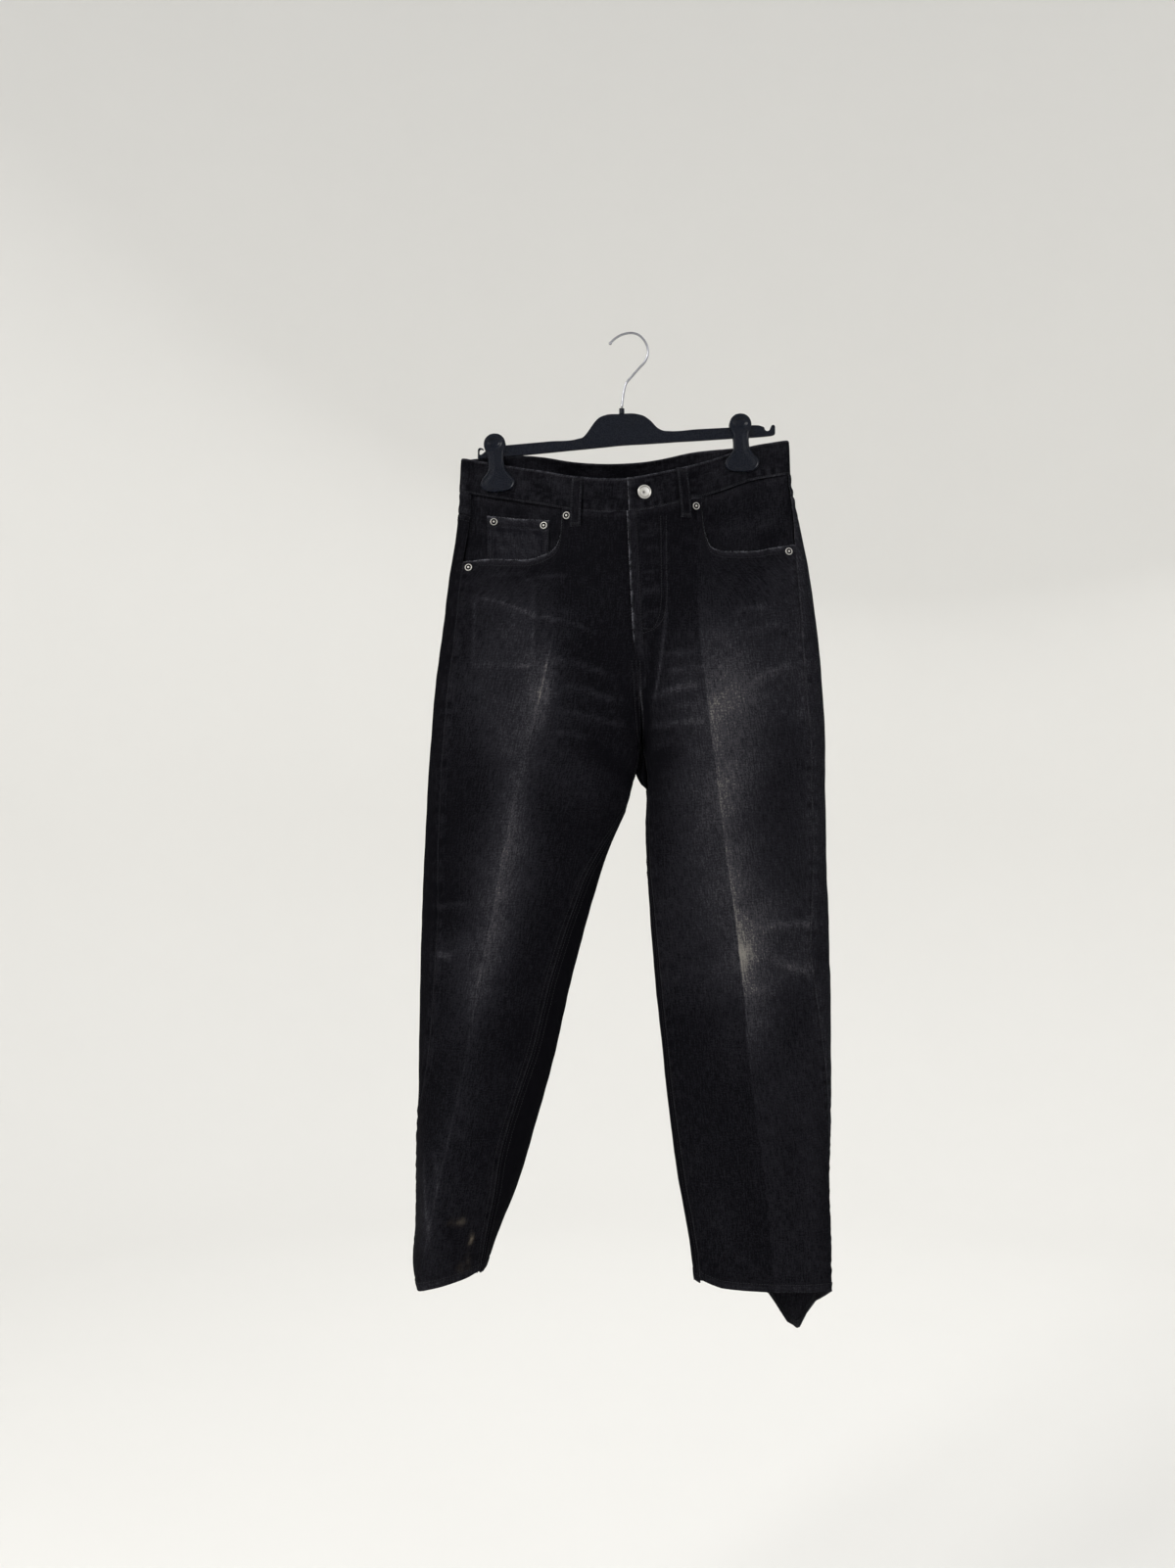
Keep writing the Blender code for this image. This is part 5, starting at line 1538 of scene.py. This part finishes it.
def hem_fold_grid(panel):
    """The hem's inner fold: the lowest 11 mm of a panel again, moved inward."""
    pairs = [inset_path(panel, "bottom", rise) for rise in np.linspace(HEM_HEIGHT, 0.5, 7)]
    points, facing = (np.stack(layer) for layer in zip(*pairs))
    wave = np.minimum(0.25 * waves(points[..., 0], points[..., 2], 12, 111), 0.15)
    grid = Grid(points - unit(facing) * (DENIM_WALL + 0.05 - wave)[..., None])
    grid.fade = 0.14 + 0.06 * waves(points[..., 0], points[..., 2], 20, 112)
    grid.edge = bands(grid.edges()[3], (0.22, 0, 1.2))
    return grid


def drape(grid, route, count, lift):
    """A route given as (across, drop), laid on a piece of cloth and lifted off it.

    Its depth and normal are those of the nearest four points, each weighed by how near it is.
    """
    x, drop = trace(route, np.linspace(0, 1, count))
    points, normals = grid.points.reshape(-1, 3), grid.normals().reshape(-1, 3)
    away = (points[None, :, 0] - x[:, None]) ** 2 + (points[None, :, 2] + drop[:, None]) ** 2
    index = np.argpartition(away, 4, axis=1)[:, :4]
    weight = 1 / (np.take_along_axis(away, index, axis=1) + 0.05)
    weight /= weight.sum(axis=1, keepdims=True)
    depth = (points[index, 1] * weight).sum(axis=1)
    normal = (normals[index] * weight[..., None]).sum(axis=1)
    return np.stack([x, depth, -drop], axis=-1) + normal * lift, normal


# ---------------------------------------------------------------- hard pieces


def add_hook():
    """The bent wire: circles carried along its route, swelling to a ball at the tip.

    The route lies in the XZ plane, and the first and last circles shrink to poles.
    """
    across, drop = trace(HOOK_ROUTE, np.linspace(0, 1, 110))
    route = np.stack([across, 0 * across, -drop], axis=-1)
    run = run_along(route)
    ball = np.sqrt(np.maximum(BALL_RADIUS**2 - (run - BALL_RADIUS) ** 2, 0))
    radius = np.maximum(ball, WIRE_RADIUS * (run > BALL_RADIUS))
    radius[0], radius[-1] = 0.001, 0.001
    travel = unit(np.gradient(route, axis=0))
    side = np.stack([-travel[:, 2], 0 * travel[:, 0], travel[:, 0]], axis=-1)
    angle = np.arange(14)[:, None] * 2 * math.pi / 14
    ring = side[:, None] * np.cos(angle) + np.array([0.0, 1.0, 0.0]) * np.sin(angle)
    points = route[:, None] + ring * radius[:, None, None]
    mesh = to_mesh("wire_hook", points.reshape(-1, 3), grid_quads(*points.shape[:2], True))
    mend(mesh)
    add_piece("wire_hook", mesh, ZINC_WIRE, ["hanger_hook"])


def arc(centre_x, centre_drop, radius, start, end, count):
    """Points on an arc in the front view, by angle in degrees from across towards up."""
    angle = np.radians(np.linspace(start, end, count))
    return np.stack([centre_x + radius * np.cos(angle), centre_drop - radius * np.sin(angle)], axis=-1)


def moulding_mesh(name, outline, profile):
    """A moulding: a closed outline in the front view, carried through a profile of (inset, depth).

    Each loop is the outline moved along its inward normals by the inset, at that depth along Y.
    The first and last loops are closed by one flat face each.
    """
    travel = unit(np.roll(outline, -1, axis=0) - np.roll(outline, 1, axis=0))
    inward = np.stack([travel[:, 1], -travel[:, 0]], axis=-1)
    loops = [np.insert(outline + inward * inset, 1, depth, axis=1) for inset, depth in profile]
    points = np.concatenate(loops) * (1, 1, -1)
    mesh = to_mesh(name, points, grid_quads(len(profile), len(outline), True))
    mend(mesh, len(outline))
    return mesh


def add_hanger_bar():
    """The moulded bar with its hump and end hooks, rounded all round its edge, and its collar."""
    foot, crest = np.arange(-180, 172, 3.0), np.arange(-160, 158, 2.0)[::-1]
    outline = np.concatenate([
        np.stack([foot, smooth(BAR, "bottom_drop", foot)], axis=-1),
        *(arc(*row) for row in BAR_TIP_ARCS),
        np.stack([crest, smooth(BAR, "top_drop", crest)], axis=-1),
        BAR_END_HOOK,
    ])
    rim = ((0.87, 0), (0.8, 0), (0.35, 0.25), (0.05, 0.8))
    half = [(inset, BAR_HALF_THICKNESS - below) for inset, below in rim]
    profile = [*half, (0, 0), *((inset, -depth) for inset, depth in half[::-1])]
    mesh = moulding_mesh("hanger_bar", outline, profile)
    add_piece("hanger_bar", mesh, MOULDED, ["hanger_body"])
    ribs = [(3.1 + 0.45 * (step % 2), step * 0.95, 0) for step in range(8)]
    collar = [(0, 0, 0), *ribs, (2.6, 7.6, 0), (0, 7.6, 0)]
    foot, upright = np.array([-12.0, 0.0, -98.4]), np.array([0.0, 0.02, 1.0])
    lathe("hook_collar", collar, foot, upright, MOULDED, [], 28)


def clip_plate(face):
    """One keyhole plate: rows of closed loops, front then back, with a rim line and a thumb dimple."""
    below = CLIP_TOP + (CLIP_FOOT - CLIP_TOP) * crowded(91, 1, 0.75)
    half_width = np.maximum(smooth(CLIP_OUTLINE, "half_width", below), 0.02)
    slope = np.gradient(half_width, below)[:, None]
    below, half_width = below[:, None], half_width[:, None]
    u = np.sin(np.linspace(-math.pi / 2, math.pi / 2, 41))
    x, z = u * half_width, 0 * u - below
    edge = (1 - np.abs(u)) * half_width / np.sqrt(1 + slope**2)
    edge = np.minimum(edge, np.minimum(below - CLIP_TOP, CLIP_FOOT - below) * 1.3)
    rounded = CLIP_ROUND - np.sqrt(np.maximum(CLIP_ROUND**2 - np.maximum(CLIP_ROUND - edge, 0) ** 2, 0))
    sunk = ease((edge - 1.5) / 1.1) * (1 - ease((edge - 2.4) / 7)) * ease((below - 6) / 6)
    oval = np.hypot(x / 9.6, (below + 2.0) / 7.6)
    dimple = 2.3 * (1 - ease((oval - 0.5) / 0.45)) - 0.3 * bell((oval - 1.06) / 0.12)
    outside = CLIP_OUTER - rounded - sunk - dimple
    inside = np.minimum(CLIP_INNER + 0.4 * (1 - ease(edge / 0.8)), outside - 0.2)
    there, back = (np.stack([x, y * face, z], axis=-1) for y in (outside, inside))
    return np.concatenate([there, back[:, ::-1]], axis=1)


def add_clip(name, across, drop, lean):
    """A clip: two plates, and between them above the bar the block that the spring wraps.

    The block is a superellipse: sines and cosines to powers below 1, so that it is nearly square.
    """
    v = np.linspace(0, math.pi, 15)[:, None]
    angle = np.linspace(0, 2 * math.pi, 25)[:-1]
    reach = np.abs(np.sin(v)) ** 0.35
    block = np.stack([
        7.2 * reach * np.sign(np.cos(angle)) * np.abs(np.cos(angle)) ** 0.45,
        4.4 * reach * np.sign(np.sin(angle)) * np.abs(np.sin(angle)) ** 0.45,
        4.0 + 5.6 * np.cos(v) + 0 * angle,
    ], axis=-1)
    points, faces, start = [], [], 0
    for rows in (clip_plate(-1), clip_plate(1), block):
        points.append(rows.reshape(-1, 3))
        faces.append(grid_quads(*rows.shape[:2], True).reshape(-1, 4) + start)
        start += len(points[-1])
    x, y, z = np.concatenate(points).T
    turn = math.radians(lean)
    turned_x, turned_z = x * math.cos(turn) - z * math.sin(turn), x * math.sin(turn) + z * math.cos(turn)
    placed = np.stack([across + turned_x, y, turned_z - drop], axis=-1)
    mesh = to_mesh(name + "_moulding", placed, np.concatenate(faces))
    mend(mesh)
    add_piece(name + "_moulding", mesh, MOULDED, [name])


# ---------------------------------------------------------------- the build


def add_cloth(name, grid, wall, material=BLACK_DENIM, slot="denim", replaces=(), round_edges=0.0):
    """A cloth piece: its grid with a wall inward, and its finish's values at every point."""
    grid.measure()
    mesh = to_mesh(name, grid.points.reshape(-1, 3), grid_quads(*grid.points.shape[:2]))
    for title in ("fade", "edge", "scuff"):
        set_values(mesh, title, getattr(grid, title))
    middle = grid.run[:, grid.middle, None]
    level = grid.points[..., 2] if grid.on_leg else -grid.fall
    flat = np.stack([grid.run - middle, level], axis=-1).reshape(-1, 2) * MM
    vertex = np.empty(len(mesh.loops), np.int32)
    mesh.loops.foreach_get("vertex_index", vertex)
    layer = mesh.uv_layers.new(name="cut")
    layer.data.foreach_set("uv", flat[vertex].astype(np.float32).ravel())
    piece = add_piece(name, mesh, material, replaces)
    solidify = piece.modifiers.new("wall", "SOLIDIFY")
    solidify.thickness = wall * MM
    solidify.offset = -1
    if round_edges:
        bevel = piece.modifiers.new("rounded edges", "BEVEL")
        bevel.width = round_edges * MM
        bevel.segments = 2
        bevel.limit_method = "ANGLE"
        bevel.angle_limit = math.radians(55)
    return piece


def hang(name, grid, wall, node, with_pieces=(), rests_on=("waistband",), **finish):
    """Adds a cloth piece in place of one of the model's nodes.
    """
    piece = add_cloth(name, grid, wall, replaces=[node], **finish)


def hem_fold(name, panel):
    """A panel's hem fold, as a piece of its own."""
    return add_cloth(name + "_hem", hem_fold_grid(panel), HEM_FOLD_WALL, INNER_DENIM)


def build_panels():
    """The fronts, backs and yokes with their hems, stitching and frayed edges."""
    for leg in (RIGHT, LEFT):
        front, back, yoke = front_piece_grid(leg), back_piece_grid(leg), yoke_piece_grid(leg)
        inner, outer = lined_up(leg, "right", "left")
        scoop = (0.0, 0.5) if leg is RIGHT else (0.5, 1.0)
        name = "front_" + leg.side
        rows = [inset_path(front, "top", gap, *scoop) for gap in (2.0, 8.2)]
        rows.append(inset_path(front, "bottom", HEM_HEIGHT - 1.5))
        if leg is RIGHT:
            rows += [inset_path(front, inner, gap, 0.22, 1.0) for gap in (2.2, 7.4)]
        else:
            rows += [inset_path(front, inner, gap, 0.0, 0.2) for gap in (2.2, 10.2)]
            rows.append(inset_path(front, inner, 2.2, 0.22, 1.0))
            curves = [FLY_CURVE[:, :2] + shift * FLY_CURVE[:, 2:] for shift in (0.0, -6.5)]
            rows += [drape(front, curve, 160, 0.1) for curve in curves]
        pieces = [add_stitching(name + "_stitches", rows)]
        pieces.append(add_fray(name + "_scoop_fray", front, "top", 380, 2.0, *scoop))
        if leg is LEFT:
            pieces.append(add_fray("fly_edge_fray", front, inner, 420, 1.9, 0.0, 0.19))
        pieces.append(hem_fold(name, front))
        hang(name + "_panel", front, DENIM_WALL, name, pieces)

        # The back's inner edge is on the side where the front, seen from outside, has its outer one.
        name = "back_" + leg.side
        rows = [inset_path(back, outer, gap, 0.0, 0.98) for gap in (2.2, 7.4)]
        rows += [inset_path(back, "top", gap) for gap in (2.0, 7.6)]
        rows.append(inset_path(back, "bottom", HEM_HEIGHT - 1.5))
        pieces = [add_stitching(name + "_stitches", rows), hem_fold(name, back)]
        pieces.append(add_fray(name + "_hem_fray", back, "bottom", 420, 1.6))
        hang(name + "_panel", back, DENIM_WALL, name, pieces)
        name = "yoke_" + leg.side
        hang(name + "_panel", yoke, DENIM_WALL, name)


def build_band():
    """The waistband with its rows of stitches, its frayed end and its belt loops."""
    band = band_piece_grid()
    rows = [inset_path(band, "top", 2.6), inset_path(band, "bottom", 2.6), inset_path(band, "left", 2.4)]
    pieces = [add_stitching("waistband_stitches", rows)]
    pieces.append(add_fray("band_end_fray", band, "left", 120, 1.7))
    hole = arc(4.0, 199.0, 3.2, 60, 300, 20)
    slit = np.concatenate([[(12, 196.4), (6, 196.4)], hole, [(6, 201.6), (12, 201.6)]])
    edging = [drape(band, slit, 60, 0.15)]
    pieces.append(add_stitching("buttonhole_stitches", edging, pitch=1.1, length=1.3))
    clips = [name for name, *_ in CLIPS]
    hang("waistband_strip", band, BAND_WALL, "waistband", pieces, clips, round_edges=0.5)
    for number, place in enumerate(BELT_LOOPS, 1):
        grid = belt_loop_grid(*place)
        name = f"belt_loop_{number}"
        rows = [inset_path(grid, side, 2.4) for side in ("left", "right")]
        tacks = [inset_path(grid, side, gap, 0.14, 0.86) for side in ("top", "bottom") for gap in (3, 4, 5)]
        stitches = add_stitching(name + "_stitches", rows, radius=0.3)
        tack = add_stitching(name + "_tacks", tacks, radius=0.32, length=1.5, pitch=1.3)
        hang(name + "_strap", grid, LOOP_WALL, name, [stitches, tack])


def build_pockets():
    """The facings, coin pocket, fly stand and back pockets."""
    for leg, depth in ((RIGHT, FACING_DEPTH), (LEFT, LAP_DEPTH)):
        name = "facing_" + leg.side
        hang(name + "_panel", facing_grid(leg, depth), POCKET_WALL, name)
    grid = coin_pocket_grid()
    rows = [inset_path(grid, side, gap, 0.04, 1) for side in ("left", "right") for gap in (2.0, 7.5)]
    rows += [inset_path(grid, "top", gap, 0.03, 0.97) for gap in (2.4, 10.5)]
    pieces = [add_stitching("coin_pocket_stitches", rows, "worn_denim", radius=0.34)]
    pieces.append(add_fray("coin_pocket_fray", grid, "top", 260, 1.7))
    sanded = {"material": PATCH_DENIM, "slot": "worn_denim"}
    hang("coin_pocket_patch", grid, POCKET_WALL, "coin_pocket", pieces, ["facing_right"], **sanded)
    hang("fly_under_lap", fly_stand_grid(), DENIM_WALL, "fly_stand")
    for name, across, below_seam in BACK_POCKETS:
        grid = back_pocket_grid(across, below_seam)
        rows = [inset_path(grid, side, gap, 0.0, 0.97) for side in ("left", "right") for gap in (2.0, 8.0)]
        rows += [inset_path(grid, "bottom", gap, 0.03, 0.97) for gap in (2.0, 8.0)]
        rows += [inset_path(grid, "top", gap, 0.02, 0.98) for gap in (2.4, 13.0)]
        pieces = [add_stitching(name + "_stitches", rows)]
        hang(name + "_patch", grid, POCKET_WALL, name, pieces, ["back_right" if across < 0 else "back_left"])


def build_metalware():
    """The rivets and the tack button, each standing on the cloth's normal."""
    heads = [
        (f"rivet_{number}_cap", RIVET_PROFILE, across, drop, depth, f"rivet_{number}", 32, None)
        for number, (across, drop, depth) in enumerate(RIVETS, 1)
    ]
    heads.append(("tack_button", BUTTON_PROFILE, *BUTTON_PLACE, 0.0, "button", 56, BUTTON_DENT))
    for name, profile, across, drop, depth, node, segments, dent in heads:
        foot = hip_cloth(True, across, drop, depth - HEAD_HEIGHT)
        normal = hip_cloth(True, across, drop, depth - HEAD_HEIGHT - 1) - foot
        lathe(name, profile, foot, normal, TUMBLED, [node], segments, dent)


def build_hanger():
    """The bar, the hook and the two clips."""
    add_hook()
    add_hanger_bar()
    for name, across, drop, lean in CLIPS:
        add_clip(name, across, drop, lean)


LIGHTS_AIM = (0, 0, -0.6)


def add_light(name, place, size, power, colour):
    """A square soft light at a place in metres, aimed at the middle of the jeans."""
    lamp = bpy.data.lights.new(name, "AREA")
    lamp.size = size
    lamp.energy = power
    lamp.color = hex_colour(colour)[:3]
    piece = put_in_scene(name, lamp)
    piece.location = place
    x, y, z = np.array(place) - LIGHTS_AIM
    piece.rotation_euler = (0, math.atan2(math.hypot(x, y), z), math.atan2(y, x))


def build_studio():
    """A pale bowl of revolution under soft lights, and the camera where the photograph's was."""
    angle = np.radians(np.linspace(0, 90, 13))
    cove = np.stack([2.7 + 1.1 * np.sin(angle), -0.65 - 1.1 * np.cos(angle)], axis=-1)
    profile = np.concatenate([[(0.001, -1.75), (1.4, -1.75)], cove, [(3.85, 1.0), (3.9, 3.6)]]) / MM
    turn = np.arange(72) * 2 * math.pi / 72
    radius, height = profile.T[..., None]
    points = np.stack([radius * np.cos(turn), radius * np.sin(turn), height + 0 * turn], axis=-1)
    mesh = to_mesh("studio_bowl", points.reshape(-1, 3), grid_quads(len(profile), 72, True, flip=True))
    # Matt background paper: even, with no shine.
    mesh.materials.append(flecked("matt_paper", "#e3e2df", "#e1e0dd", 0.4, 0.95, 0.0, Specular_IOR_Level=0.1))
    put_in_scene("studio_bowl", mesh)

    world = bpy.data.worlds.new("studio")
    bpy.context.scene.world = world
    world.use_nodes = True
    sky = world.node_tree.nodes["Background"]
    sky.inputs["Color"].default_value = hex_colour("#f4f5f6")
    sky.inputs["Strength"].default_value = 0.66
    add_light("key", (-2.3, -1.9, 1.3), 1.5, 92, "#fffefc")
    add_light("fill", (2.2, -2.0, 0.6), 2.0, 26, "#f6f8ff")
    add_light("back", (0.8, 2.6, 1.5), 2.2, 52, "#ffffff")

    lens = bpy.data.cameras.new("camera")
    lens.lens = 40.5
    lens.sensor_width = 36
    lens.clip_end = 40
    camera = put_in_scene("camera", lens)
    camera.location = (-0.054, -2.161, -0.551)
    camera.rotation_euler = (math.pi / 2, 0, 0)
    bpy.context.scene.camera = camera
    bpy.context.scene.view_settings.view_transform = "Standard"


build_panels()
build_band()
build_pockets()
build_metalware()
build_hanger()
build_studio()
